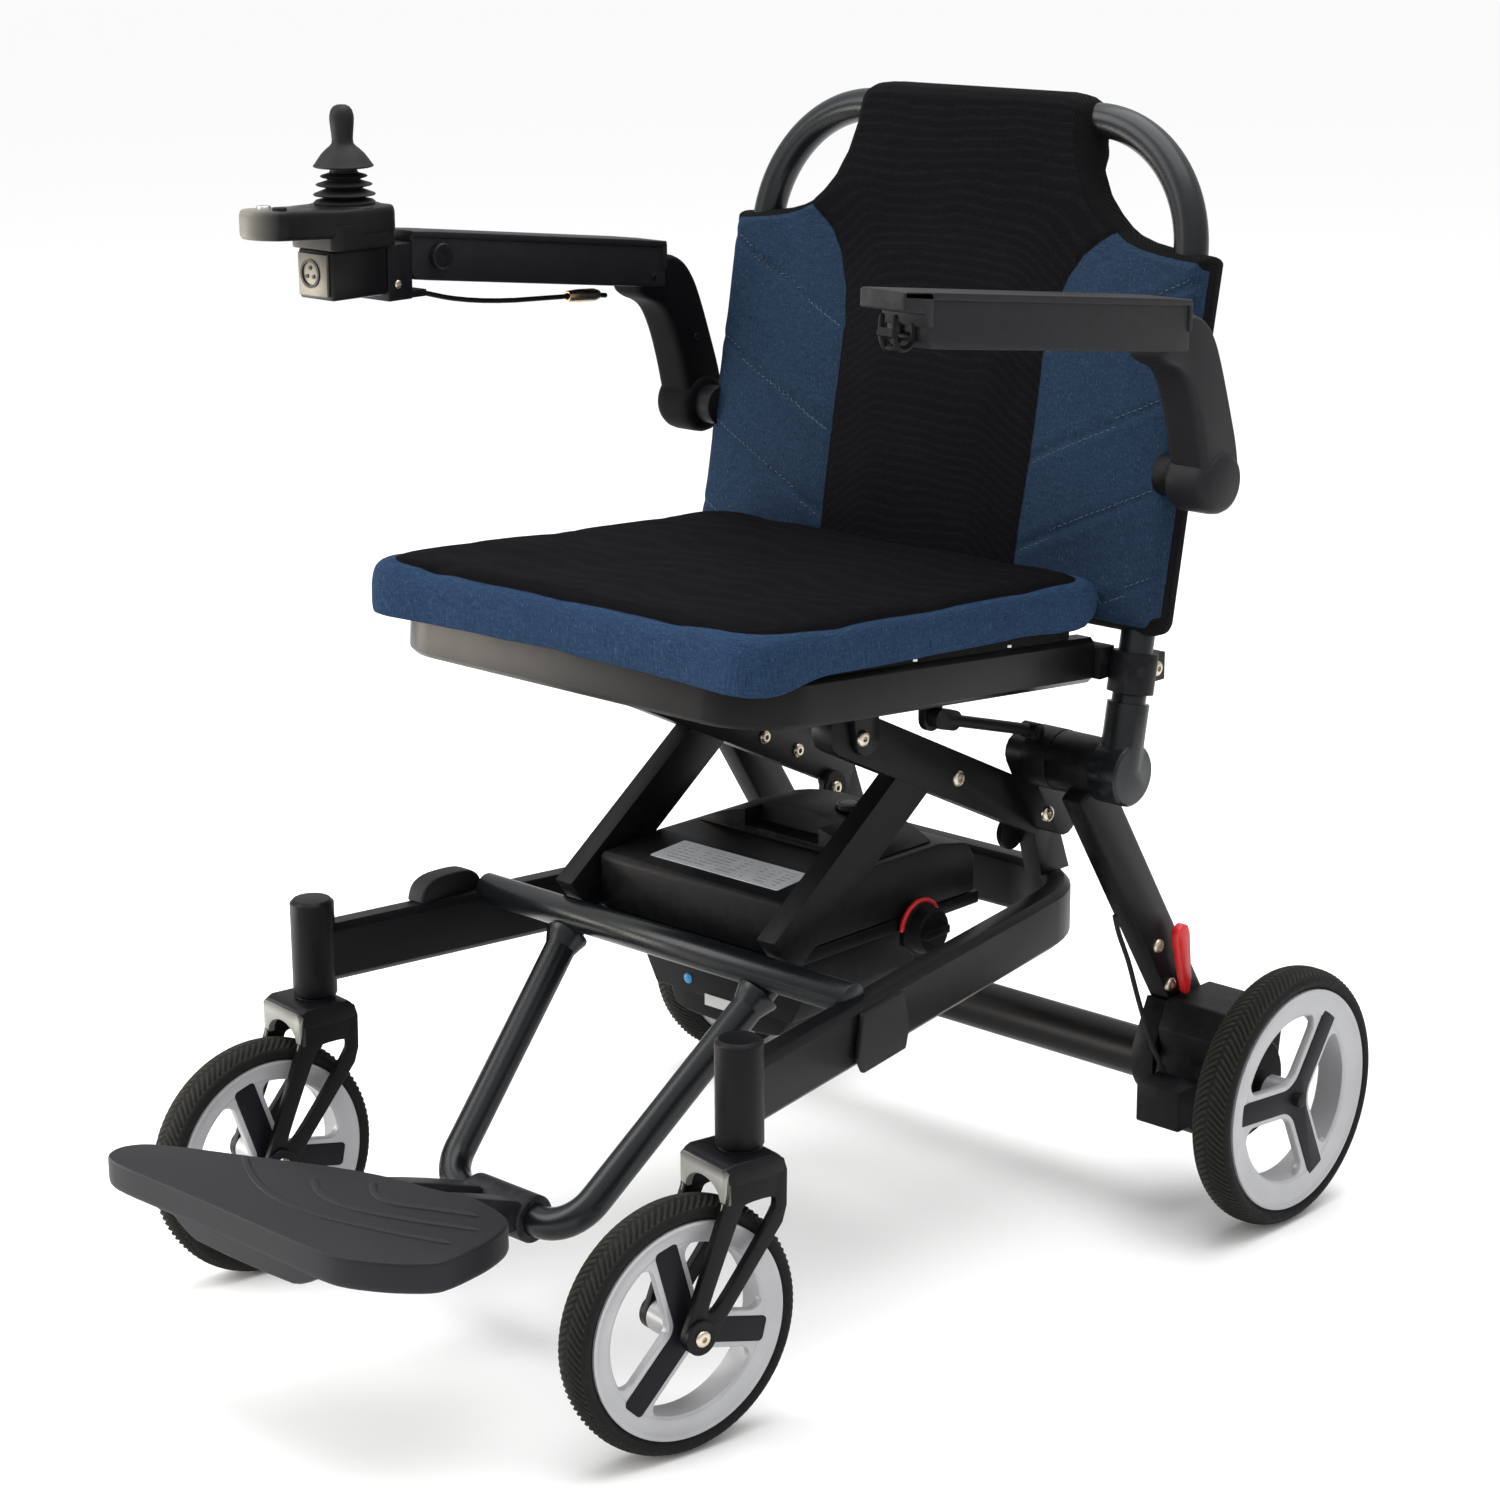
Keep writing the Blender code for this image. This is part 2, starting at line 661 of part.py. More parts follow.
tray = box((-0.0985, -0.1090, 0.2630), (0.0985, 0.1400, 0.2740), 0.0015)
control = prism(
    [
        (-0.0850, 0.2640),
        (-0.0850, 0.2260),
        (-0.0740, 0.2060),
        (0.0740, 0.2060),
        (0.0850, 0.2260),
        (0.0850, 0.2640),
    ],
    -0.0600,
    0.0750,
    "Y",
    0.002,
)
latch_boss = box((0.0960, 0.0440, 0.2500), (0.1020, 0.0760, 0.2735), 0.0)
node("controller_tray", combined(tray, [control, latch_boss]), "black_plastic", (0, 0, 0.263))

latch = lathe(
    [(0, 0), (0.0205, 0), (0.0215, 0.0012), (0.0215, 0.0036), (0.0195, 0.0040), (0.0185, 0.0150), (0.0170, 0.0170), (0, 0.0170)],
    (0.1024, 0.060, 0.2625),
    Vector((1, 0, 0)),
    28,
)
grip = box((0.1180, 0.0450, 0.2590), (0.1230, 0.0750, 0.2660), 0.001)
node("battery_latch", combined(latch, [grip]), "black_plastic", (0.1024, 0.060, 0.2625))

# ---------------------------------------------------------------- brace rods under the seat
for side_name, side in SIDES:
    eye_at = (HINGE_Y - 0.0325 * math.sin(math.radians(38)), HINGE_Z + 0.0325 * math.cos(math.radians(38)))
    eye = cylinder_x(eye_at[0], eye_at[1], 0.0068, 0.1425, 0.1575, 24)
    front_eye = prism(stadium((0.037, 0.446), (0.052, 0.4420), 0.0080), 0.1355, 0.1445, "X")
    shaft = rod((0.1400, 0.048, 0.4430), (0.1490, eye_at[0], eye_at[1]), 0.0048, 20)
    nut = rod((0.14665, 0.112, 0.4236), (0.14808, 0.128, 0.4193), 0.0070, 20)
    node("brace_rod_" + side_name, for_side(combined(front_eye, [shaft, eye]), side), "black_paint",
         (side * 0.140, 0.037, 0.446))

# ---------------------------------------------------------------- armrests
ARM_SLOPE_RIGHT = (ARM_FRONT_RIGHT[1] - ARM_REAR[1]) / (ARM_REAR[0] - ARM_FRONT_RIGHT[0])
ARM_SLOPE_LEFT = (ARM_FRONT_LEFT[1] - ARM_REAR[1]) / (ARM_REAR[0] - ARM_FRONT_LEFT[0])


def arm_line(y, drop, slope):
    return (y, ARM_REAR[1] + (ARM_REAR[0] - y) * slope - drop)


for side_name, side in SIDES:
    hub = cylinder_x(BACK_FOLD_Y, BACK_FOLD_Z, 0.0165, POST_X + POST_R + 0.0004, 0.2514, 32)
    strap_top = on_post(1, BACK_S)
    strap_low = on_post(1, BACK_S - 0.052)
    strap = prism(
        [
            (BACK_FOLD_Y + 0.004, BACK_FOLD_Z),
            (strap_low.y - 0.009, strap_low.z),
            (strap_low.y + 0.009, strap_low.z),
            (strap_top.y + 0.009, strap_top.z),
        ],
        POST_X + POST_R + 0.0004,
        POST_X + POST_R + 0.0052,
        "X",
    )
    node("armrest_hub_" + side_name, for_side(combined(hub, [strap]), side), "black_plastic",
         (side * 0.243, BACK_FOLD_Y, BACK_FOLD_Z))

    slope = ARM_SLOPE_LEFT if side > 0 else ARM_SLOPE_RIGHT
    low = ARM_H + 0.0004
    upright = prism(
        [
            arm_line(0.0900, low, slope),
            (0.0900, 0.7215),
            (0.1260, 0.7190),
            (0.1405, 0.7090),
            (0.1500, 0.6900),
            (0.1645, 0.6280),
            (0.1750, 0.6070),
            (0.2050, 0.6070),
            (0.2155, 0.6280),
            (0.2120, 0.6500),
            (0.1880, 0.7180),
            (0.1810, 0.7340),
            (0.1700, 0.7480),
            (0.1548, 0.7580),
            (0.1548, arm_line(0.1548, low, slope)[1]),
        ],
        ARM_X - 0.0175,
        ARM_X + 0.0175,
        "X",
        0.0,
    )
    edge_pick = [e for e in upright.edges if abs(e.verts[0].co.x - e.verts[1].co.x) < 1e-6]
    bmesh.ops.bevel(upright, geom=edge_pick, offset=0.002, segments=2, profile=0.5, affect="EDGES", clamp_overlap=True)
    turn = lathe(
        [
            (0, 0),
            (ARM_PIVOT_R - 0.001, 0),
            (ARM_PIVOT_R, 0.001),
            (ARM_PIVOT_R, 0.0380),
            (ARM_PIVOT_R - 0.003, 0.0412),
            (0, 0.0412),
        ],
        (0.2518, BACK_FOLD_Y, BACK_FOLD_Z),
        Vector((1, 0, 0)),
        28,
    )
    node("armrest_upright_" + side_name, for_side(combined(upright, [turn]), side), "arm_plastic",
         (side * ARM_X, BACK_FOLD_Y, BACK_FOLD_Z))

left_beam = [
    arm_line(0.1540, 0.0, ARM_SLOPE_LEFT),
    arm_line(ARM_FRONT_LEFT[0], 0.0, ARM_SLOPE_LEFT),
    arm_line(ARM_FRONT_LEFT[0] + 0.001, 0.013, ARM_SLOPE_LEFT),
    arm_line(ARM_FRONT_LEFT[0] + 0.019, 0.014, ARM_SLOPE_LEFT),
    arm_line(ARM_FRONT_LEFT[0] + 0.023, 0.0400, ARM_SLOPE_LEFT),
    arm_line(0.1540, 0.0400, ARM_SLOPE_LEFT),
]
node(
    "armrest_beam_left",
    prism(left_beam, ARM_X - ARM_W / 2, ARM_X + ARM_W / 2, "X", 0.0025),
    "arm_plastic",
    (ARM_X, 0.0, 0.79),
)
right_beam = [
    arm_line(0.1540, 0.0, ARM_SLOPE_RIGHT),
    arm_line(ARM_FRONT_RIGHT[0], 0.0, ARM_SLOPE_RIGHT),
    arm_line(ARM_FRONT_RIGHT[0], 0.0400, ARM_SLOPE_RIGHT),
    arm_line(0.1540, 0.0400, ARM_SLOPE_RIGHT),
]
node(
    "armrest_beam_right",
    prism(right_beam, -ARM_X - ARM_W / 2, -ARM_X + ARM_W / 2, "X", 0.0025),
    "arm_plastic",
    (-ARM_X, 0.0, 0.79),
)
clip_y = ARM_FRONT_LEFT[0] + 0.0105
clip = prism(
    [
        (clip_y - 0.0080, 0.7925),
        (clip_y - 0.0085, 0.7760),
        (clip_y - 0.0020, 0.7680),
        (clip_y + 0.0075, 0.7680),
        (clip_y + 0.0075, 0.7725),
        (clip_y + 0.0005, 0.7730),
        (clip_y - 0.0040, 0.7780),
        (clip_y - 0.0035, 0.7880),
        (clip_y + 0.0075, 0.7885),
        (clip_y + 0.0075, 0.7925),
    ],
    ARM_X - 0.010,
    ARM_X + 0.010,
    "X",
    0.0008,
)
node("armrest_clip_left", clip, "black_plastic", (ARM_X, clip_y, 0.7925))

# ---------------------------------------------------------------- joystick controller on the right arm
JOY_Y = -0.190
bracket = combined(
    box((-0.2917, -0.1655, 0.7520), (-0.2517, -0.1404, 0.7965), 0.0015),
    [box((-0.2897, -0.1500, 0.7525), (-0.2537, -0.1250, 0.7580), 0.0)],
)
node("joystick_bracket", bracket, "black_plastic", (-ARM_X, -0.1404, 0.776))
node("joystick_box", box((-0.2917, -0.2220, 0.7580), (-0.2517, -0.1659, 0.7965), 0.0020), "black_plastic",
     (-ARM_X, -0.194, 0.777))
socket = combined(
    box((-0.2887, -0.2246, 0.7615), (-0.2547, -0.2224, 0.7935), 0.0),
    [
        lathe(
            [(0.0085, 0.0), (0.0120, 0.0), (0.0120, 0.0022), (0.0085, 0.0022)],
            (-ARM_X, -0.2240, 0.7775),
            Vector((0, -1, 0)),
            32,
        )
    ],
)
node("charge_socket", socket, "silver_plate", (-ARM_X, -0.2224, 0.7775))
head_outline = (
    arc((-ARM_X + 0.022, -0.1680), 0.008, 0, 90, 5)
    + arc((-ARM_X - 0.022, -0.1680), 0.008, 90, 180, 5)
    + [(-ARM_X - 0.0300, -0.2080), (-ARM_X - 0.0245, -0.2220), (-ARM_X - 0.0230, -0.2320)]
    + arc((-ARM_X, -0.2640), 0.0230, 170, 370, 16)
    + [(-ARM_X + 0.0230, -0.2320), (-ARM_X + 0.0245, -0.2220), (-ARM_X + 0.0300, -0.2080)]
)
head_block = prism(head_outline, 0.7969, 0.8215, "Z", 0.0022)
node("joystick_head", head_block, "black_plastic", (-ARM_X, JOY_Y, 0.8215))
boot = lathe(
    [
        (0.0085, 0.0),
        (0.0230, 0.0),
        (0.0235, 0.0030),
        (0.0190, 0.0060),
        (0.0235, 0.0085),
        (0.0175, 0.0120),
        (0.0215, 0.0150),
        (0.0150, 0.0185),
        (0.0185, 0.0215),
        (0.0140, 0.0250),
        (0.0140, 0.0290),
        (0.0085, 0.0290),
    ],
    (-ARM_X, JOY_Y, 0.8219),
    Vector((0, 0, 1)),
    24,
)
node("joystick_boot", boot, "rubber", (-ARM_X, JOY_Y, 0.8219))
BALL_R = 0.0038
ball_profile = [(0, -BALL_R)] + [(b, a) for a, b in arc((0, 0), BALL_R, 150, 30, 4)] + [(0, BALL_R)]
gimbal = lathe(
    ball_profile,
    (-ARM_X, JOY_Y, 0.8262),
    Vector((0, 0, 1)),
    16,
)
node("joystick_gimbal", gimbal, "steel", (-ARM_X, JOY_Y, 0.8262))
stick = lathe(
    [
        (0, 0),
        (0.0040, 0.0),
        (0.0040, 0.0220),
        (0.0225, 0.0220),
        (0.0225, 0.0235),
        (0.0190, 0.0290),
        (0.0140, 0.0350),
        (0.0095, 0.0395),
        (0.0078, 0.0440),
        (0.0080, 0.0520),
        (0.0088, 0.0600),
        (0.0088, 0.0660),
        (0.0070, 0.0715),
        (0.0038, 0.0742),
        (0, 0.0750),
    ],
    (-ARM_X, JOY_Y, 0.8304),
    Vector((0, 0, 1)),
    24,
)
node("joystick_stick", stick, "rubber", (-ARM_X, JOY_Y, 0.8262))
for label, offset in (("power", -0.0095), ("horn", 0.0095)):
    button = lathe(
        [(0, 0), (0.0052, 0), (0.0056, 0.0004), (0.0056, 0.0018), (0.0046, 0.0026), (0, 0.0026)],
        (-ARM_X + offset, -0.2620, 0.8229),
        Vector((0, 0, 1)),
        20,
    )
    node(label + "_button", button, "silver_plate" if label == "power" else "grey_plastic",
         (-ARM_X + offset, -0.2620, 0.8229))

# held cable under the right arm, with its in-line connector
cable_points = [
    (-0.1244, 0.7552),
    (-0.1050, 0.7500),
    (-0.0800, 0.7440),
    (-0.0500, 0.7392),
    (-0.0150, 0.7358),
    (0.0200, 0.7340),
    (0.0500, 0.7325),
    (0.0700, 0.7312),
    (0.0894, 0.7290),
]


def smooth_curve(points, steps):
    """Points on a Catmull-Rom curve through the given stations."""
    pts = [Vector(p) for p in points]
    pts = [pts[0] * 2 - pts[1]] + pts + [pts[-1] * 2 - pts[-2]]
    out = []
    for i in range(1, len(pts) - 2):
        for k in range(steps):
            t = k / steps
            a = pts[i] * 2
            b = (pts[i + 1] - pts[i - 1]) * t
            c = (pts[i - 1] * 2 - pts[i] * 5 + pts[i + 1] * 4 - pts[i + 2]) * (t * t)
            d = (pts[i] * 3 - pts[i - 1] - pts[i + 1] * 3 + pts[i + 2]) * (t * t * t)
            out.append((a + b + c + d) * 0.5)
    out.append(pts[-2])
    return out


cable_path = smooth_curve([(-ARM_X, y, z) for y, z in cable_points], 4)
node("joystick_cable", sweep(cable_path, circle(0.0022, 8)), "rubber", (-ARM_X, -0.1244, 0.7552))
joint_a = Vector((-ARM_X, 0.0505, 0.73245))
joint_b = Vector((-ARM_X, 0.0700, 0.7312))
plug_dir = (joint_b - joint_a).normalized()
plug = lathe(
    [(0.0028, -0.016), (0.0045, -0.016), (0.0055, -0.004), (0.0055, 0.014), (0.0040, 0.020), (0.0028, 0.020)],
    (joint_a + joint_b) / 2,
    plug_dir,
    18,
)
node("cable_connector", plug, "steel", (joint_a + joint_b) / 2)


# ---------------------------------------------------------------- wheels
def wheel(kind, side_name, side, centre, radius, seat_radius, width, ring_inner, phase, yaw, bore, spoke_w, parent):
    """Tyre, spoked rim and the dark spoke inlay of one wheel, turned about X and then by the yaw."""
    outward = side
    half = width / 2
    shoulder = half * 0.86
    crown = []
    for k in range(5):
        a = math.radians(-60 + 30 * k)
        crown.append((radius - 0.010 + 0.010 * math.cos(a) ** 0.6, half * math.sin(a) / math.sin(math.radians(60)) * 0.985))
    section = [(seat_radius, -shoulder)] + [(radius - 0.0075, -half)] + crown[1:-1] + [(radius - 0.0075, half), (seat_radius, shoulder)]
    tyre = lathe(section, centre, Vector((1, 0, 0)), 40)
    rim_r = seat_radius - 0.0003
    ring = lathe(
        [
            (ring_inner, -half * 0.80),
            (rim_r - 0.0010, -half * 0.92),
            (rim_r, -half * 0.80),
            (rim_r, half * 0.80),
            (rim_r - 0.0010, half * 0.92),
            (ring_inner, half * 0.80),
            (ring_inner + 0.004, 0.0),
        ],
        centre,
        Vector((1, 0, 0)),
        40,
    )
    hub_out = half * 0.72
    hub_in = half * 0.90
    hub = cylinder_x(centre[1], centre[2], 0.0165, centre[0] - (hub_in if outward > 0 else hub_out),
                     centre[0] + (hub_out if outward > 0 else hub_in), 24)
    spokes = []
    inlay = None
    face = half * 0.66
    for k in range(3):
        angle = math.radians(phase + 120 * k)
        direction = Vector((0, -math.cos(angle), math.sin(angle)))
        across = Vector((0, math.sin(angle), math.cos(angle)))
        corners = []
        for distance, wide in ((0.004, spoke_w * 0.62), (ring_inner + 0.0025, spoke_w / 2)):
            for sign in (1, -1) if distance < 0.01 else (-1, 1):
                p = Vector(centre) + direction * distance + across * sign * wide
                corners.append((p.y, p.z))
        x_mid = centre[0] + outward * face * 0.30
        spokes.append(prism(corners, x_mid - face * 0.68, x_mid + face * 0.68, "X"))
        bar = []
        for distance, wide in ((0.0, spoke_w * 0.50), (ring_inner - 0.0010, spoke_w / 2 - 0.0028)):
            for sign in (1, -1) if distance < 0.01 else (-1, 1):
                p = Vector(centre) + direction * distance + across * sign * wide
                bar.append((p.y, p.z))
        edge = centre[0] + outward * (half * 0.72 + 0.0005)
        lows = (min(edge, edge + outward * 0.0016), max(edge, edge + outward * 0.0016))
        piece = prism(bar, lows[0], lows[1], "X")
        inlay = piece if inlay is None else combined(inlay, [piece])
    hole = cylinder_x(centre[1], centre[2], bore, centre[0] - 0.06, centre[0] + 0.06, 16)
    rim = combined(ring, [hub] + spokes, [hole])
    disc_edge = centre[0] + outward * (half * 0.72 + 0.0005)
    disc_span = (min(disc_edge, disc_edge + outward * 0.0016), max(disc_edge, disc_edge + outward * 0.0016))
    disc = cylinder_x(centre[1], centre[2], 0.0140, disc_span[0], disc_span[1], 24)
    hole = cylinder_x(centre[1], centre[2], bore, centre[0] - 0.06, centre[0] + 0.06, 16)
    inlay = combined(inlay, [disc], [hole])
    for shape in (tyre, rim, inlay):
        if yaw:
            turned(shape, math.radians(yaw), "Z", (centre[0], centre[1], 0))
    node(kind + "_tyre_" + side_name, tyre, "tyre_rubber", centre, parent)
    node(kind + "_rim_" + side_name, rim, "silver_rim", centre, parent)
    node(kind + "_spoke_inlay_" + side_name, inlay, "black_plastic", centre, parent)


for side_name, side in SIDES:
    yaw = CASTER_YAW_LEFT if side > 0 else CASTER_YAW_RIGHT
    swing = math.radians(yaw)
    steer = (side * CASTER_X, CASTER_Y, 0.0)
    hub_at = (steer[0] + math.sin(swing) * CASTER_TRAIL, steer[1] - math.cos(swing) * CASTER_TRAIL, CASTER_R)
    swivel = pivot("caster_swivel_" + side_name, (steer[0], steer[1], 0.2085))

    # fork, drawn straight ahead and then turned about its stem
    x0, x1 = 0.0205, 0.0270
    ahead_y = CASTER_Y - CASTER_TRAIL
    hub_arc = arc((ahead_y, CASTER_R), 0.0125, -28, -198, 9)
    cheek_outline = (
        [(CASTER_Y - 0.0290, 0.2075), (CASTER_Y - 0.0310, 0.1960), (CASTER_Y - 0.0325, 0.1820)]
        + list(reversed(hub_arc))
        + [
            (CASTER_Y + 0.0175, 0.1640),
            (CASTER_Y + 0.0215, 0.1740),
            (CASTER_Y + 0.0215, 0.1950),
            (CASTER_Y + 0.0185, 0.2030),
            (CASTER_Y + 0.0120, 0.2075),
        ]
    )
    window = [
        (CASTER_Y - 0.0235, 0.1640),
        (CASTER_Y - 0.0480, 0.1125),
        (CASTER_Y - 0.0400, 0.1115),
        (CASTER_Y + 0.0085, 0.1690),
    ]
    cheeks = []
    holes = []
    for sign in (1, -1):
        lows = sorted((sign * x0, sign * x1))
        cheeks.append(prism(cheek_outline, lows[0], lows[1], "X"))
        holes.append(prism(window, lows[0] - 0.002, lows[1] + 0.002, "X"))
    top = prism(
        [
            (CASTER_Y - 0.0290, 0.1985),
            (CASTER_Y - 0.0290, 0.2074),
            (CASTER_Y + 0.0120, 0.2074),
            (CASTER_Y + 0.0184, 0.2028),
            (CASTER_Y + 0.0184, 0.1985),
        ],
        -x1 + 0.0004,
        x1 - 0.0004,
        "X",
    )
    front_web = prism(
        [
            (-x1 + 0.0004, 0.2070),
            (x1 - 0.0004, 0.2070),
            (x1 - 0.0004, 0.1830),
            (0.0195, 0.1830),
            (0.0175, 0.1900),
            (0.0110, 0.1955),
            (0.0000, 0.1975),
            (-0.0110, 0.1955),
            (-0.0175, 0.1900),
            (-0.0195, 0.1830),
            (-x1 + 0.0004, 0.1830),
        ],
        CASTER_Y - 0.0320,
        CASTER_Y - 0.0270,
        "Y",
    )
    stem = lathe(
        [(0, 0), (0.0150, 0), (0.0150, 0.0170), (0.0060, 0.0170), (0.0060, 0.0840), (0, 0.0840)],
        (0, CASTER_Y, 0.2005),
        Vector((0, 0, 1)),
        20,
    )
    axle = cylinder_x(ahead_y, CASTER_R, 0.0045, -x1 - 0.0045, x1 + 0.0045, 16)
    bosses = [
        cylinder_x(ahead_y, CASTER_R, 0.0125, x1 - 0.001, x1 + 0.0030, 20),
        cylinder_x(ahead_y, CASTER_R, 0.0125, -x1 - 0.0030, -x1 + 0.001, 20),
    ]
    fork = combined(cheeks[0], [top, front_web, cheeks[1], stem, axle] + bosses, holes)
    turned(fork, swing, "Z", (0, CASTER_Y, 0))
    bmesh.ops.translate(fork, vec=(side * CASTER_X, 0, 0), verts=fork.verts)
    node("caster_fork_" + side_name, fork, "black_paint", (steer[0], steer[1], 0.2085), swivel)
    wheel(
        "caster", side_name, side, hub_at, CASTER_R, 0.0808, CASTER_WIDTH, 0.0675,
        74.7 if side > 0 else 71.5, yaw, 0.0049, 0.0210, swivel,
    )

for side_name, side in SIDES:
    wheel(
        "drive", side_name, side, (side * REAR_X, HALF_WHEELBASE, REAR_R), REAR_R, 0.0918, REAR_WIDTH, 0.0765,
        5.35, 0.0, 0.0064, 0.0215, None,
    )

# ---------------------------------------------------------------- rear frame and motors
cross = rod((-0.1890, REAR_TUBE_Y, REAR_TUBE_Z), (0.1890, REAR_TUBE_Y, REAR_TUBE_Z), REAR_TUBE_R, 24)
shapes = []
drills = []
for side_name, side in SIDES:
    leg_dir = Vector((0.638, -1.0)).normalized()
    leg_off = Vector((-leg_dir.y, leg_dir.x)) * 0.0190
    leg_top = Vector((0.1460, 0.3810))
    leg_low = leg_top + leg_dir * 0.268
    leg = prism(
        [leg_top + leg_off, leg_low + leg_off, leg_low - leg_off, leg_top - leg_off], LEG_X0, LEG_X1 - 0.0004, "X", 0.0025
    )
    foot_plate = prism(
        arc((HALF_WHEELBASE, REAR_R), 0.0400, -20, 60, 6)
        + [(0.3010, 0.1620), (0.2520, 0.1750), (0.2330, 0.1350)]
        + arc((REAR_TUBE_Y, REAR_TUBE_Z), 0.0290, 190, 285, 8),
        LEG_X0 + 0.0004,
        LEG_X1 - 0.0008,
        "X",
    )
    knuckle = cylinder_x(HINGE_Y, HINGE_Z, HINGE_R - 0.0004, 0.1670, LEG_X1, 32)
    shapes += [for_side(leg, side), for_side(foot_plate, side), for_side(knuckle, side)]
    drills.append(for_side(cylinder_x(HINGE_Y, HINGE_Z, HINGE_PIN_R + 0.0004, 0.150, 0.220, 16), side))
node("rear_frame", combined(cross, shapes, drills), "tube_paint", (0, HINGE_Y, HINGE_Z))

for side_name, side in SIDES:
    gear = lathe(
        [
            (0, 0),
            (0.0500, 0),
            (0.0520, 0.002),
            (0.0520, 0.0300),
            (0.0480, 0.0340),
            (0.0480, 0.0560),
            (0.0400, 0.0640),
            (0.0150, 0.0640),
            (0.0150, 0.0720),
            (0.0060, 0.0720),
            (0.0060, 0.1120),
            (0, 0.1120),
        ],
        (LEG_X1 + 0.0004, HALF_WHEELBASE, REAR_R),
        Vector((1, 0, 0)),
        32,
    )
    shell = prism(
        [(0.2360, 0.1560), (0.2480, 0.1790), (0.3060, 0.1790), (0.3300, 0.1560), (0.3250, 0.1200), (0.2450, 0.1200)],
        LEG_X1 + 0.0012,
        0.2700,
        "X",
        0.002,
    )
    tail = box((0.2130, 0.2050, 0.0850), (0.2560, 0.2500, 0.1200), 0.002)
    motor = combined(gear, [shell, tail])
    node("drive_motor_" + side_name, for_side(motor, side), "black_plastic", (side * 0.240, HALF_WHEELBASE, REAR_R))
    lever_shape = prism(
        [
            (0.2650, 0.1815),
            (0.2600, 0.1815),
            (0.2530, 0.2030),
            (0.2450, 0.2330),
            (0.2465, 0.2400),
            (0.2530, 0.2440),
            (0.2600, 0.2415),
            (0.2630, 0.2350),
            (0.2670, 0.1950),
        ],
        0.2135,
        0.2215,
        "X",
        0.0018,
    )
    node("brake_lever_" + side_name, for_side(lever_shape, side), "red_plastic", (side * 0.2175, 0.2625, 0.1840))

# wire from the left motor up the inside of its leg
wire = smooth_curve(
    [
        (0.1980, 0.1905, 0.2620),
        (0.1985, 0.1960, 0.2450),
        (0.2000, 0.2080, 0.2180),
        (0.2030, 0.2180, 0.1850),
        (0.2120, 0.2240, 0.1500),
        (0.2250, 0.2270, 0.1230),
    ],
    5,
)
node("motor_cable_left", sweep(wire, circle(0.0022, 8), Vector((1, 0, 0))), "rubber", (0.1980, 0.1905, 0.2620))

# ---------------------------------------------------------------- footplate
plate_outline = (
    [(0.0700, -0.4180), (0.1250, -0.4270)]
    + arc((0.1420, -0.4520), 0.0230, 90, 0, 5)
    + [(0.1650, -0.4900), (0.1580, -0.5130)]
    + arc((0.1180, -0.5180), 0.0300, 0, -80, 5)
    + [(0.0600, -0.5495)]
)
plate_outline = plate_outline + [(-x, y) for x, y in reversed(plate_outline)]
plate = prism(plate_outline, 0.1560, 0.1790, "Z", 0.0035)
belly = prism(
    [(-0.0800, 0.1600), (-0.0560, 0.1420), (0.0560, 0.1420), (0.0800, 0.1600)],
    -0.5430,
    -0.4400,
    "Y",
    0.003,
)
ring = rod((-0.0330, FOOT_BEND_Y, FOOT_BEND_Z), (0.0330, FOOT_BEND_Y, FOOT_BEND_Z), 0.0180, 24)
arms = []
for sign in (1, -1):
    lows = sorted((sign * 0.0120, sign * 0.0300))
    arms.append(
        prism(
            [(-0.3000, 0.1200), (-0.4300, 0.1640), (-0.4600, 0.1640), (-0.4600, 0.1480), (-0.3080, 0.0960)],
            lows[0],
            lows[1],
            "X",
        )
    )
tube_hole = rod((-0.0500, FOOT_BEND_Y, FOOT_BEND_Z), (0.0500, FOOT_BEND_Y, FOOT_BEND_Z), FOOT_TUBE_R + 0.0004, 24)
node("footplate", combined(plate, [belly, ring] + arms, [tube_hole]), "grey_plastic", (0, FOOT_BEND_Y, FOOT_BEND_Z))
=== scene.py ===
import json
import math

import bmesh
import bpy
import numpy as np
from mathutils import Matrix, Vector, bvhtree, noise

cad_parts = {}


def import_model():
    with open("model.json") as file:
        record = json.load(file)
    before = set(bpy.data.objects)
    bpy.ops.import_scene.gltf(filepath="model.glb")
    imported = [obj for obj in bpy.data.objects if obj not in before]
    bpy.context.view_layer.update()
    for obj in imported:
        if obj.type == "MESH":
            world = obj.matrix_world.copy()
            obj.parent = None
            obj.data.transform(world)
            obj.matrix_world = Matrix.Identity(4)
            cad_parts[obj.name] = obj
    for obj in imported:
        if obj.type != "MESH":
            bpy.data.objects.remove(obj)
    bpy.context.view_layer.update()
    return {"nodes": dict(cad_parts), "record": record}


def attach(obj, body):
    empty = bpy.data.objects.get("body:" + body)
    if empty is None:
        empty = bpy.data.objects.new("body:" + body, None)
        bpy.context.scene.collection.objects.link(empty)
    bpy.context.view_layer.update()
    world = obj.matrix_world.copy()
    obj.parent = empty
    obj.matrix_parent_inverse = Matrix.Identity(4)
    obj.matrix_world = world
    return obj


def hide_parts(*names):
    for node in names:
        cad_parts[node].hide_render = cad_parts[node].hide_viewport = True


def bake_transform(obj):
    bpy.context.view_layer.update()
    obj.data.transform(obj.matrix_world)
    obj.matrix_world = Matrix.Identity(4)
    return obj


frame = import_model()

ORIGIN_Y = 0.0788
NODES = frame["nodes"]
BODY_OF = {node: body for body, nodes in frame["record"]["behaviour"]["bodies"].items() for node in nodes}
SIDES = (("left", 1), ("right", -1))


def world(x, y, z):
    """A point given from the middle of the wheelbase."""
    return Vector((x, y + ORIGIN_Y, z))


def mm(*points):
    """Points given in millimetres, in metres."""
    return [tuple(value / 1000 for value in point) for point in points]


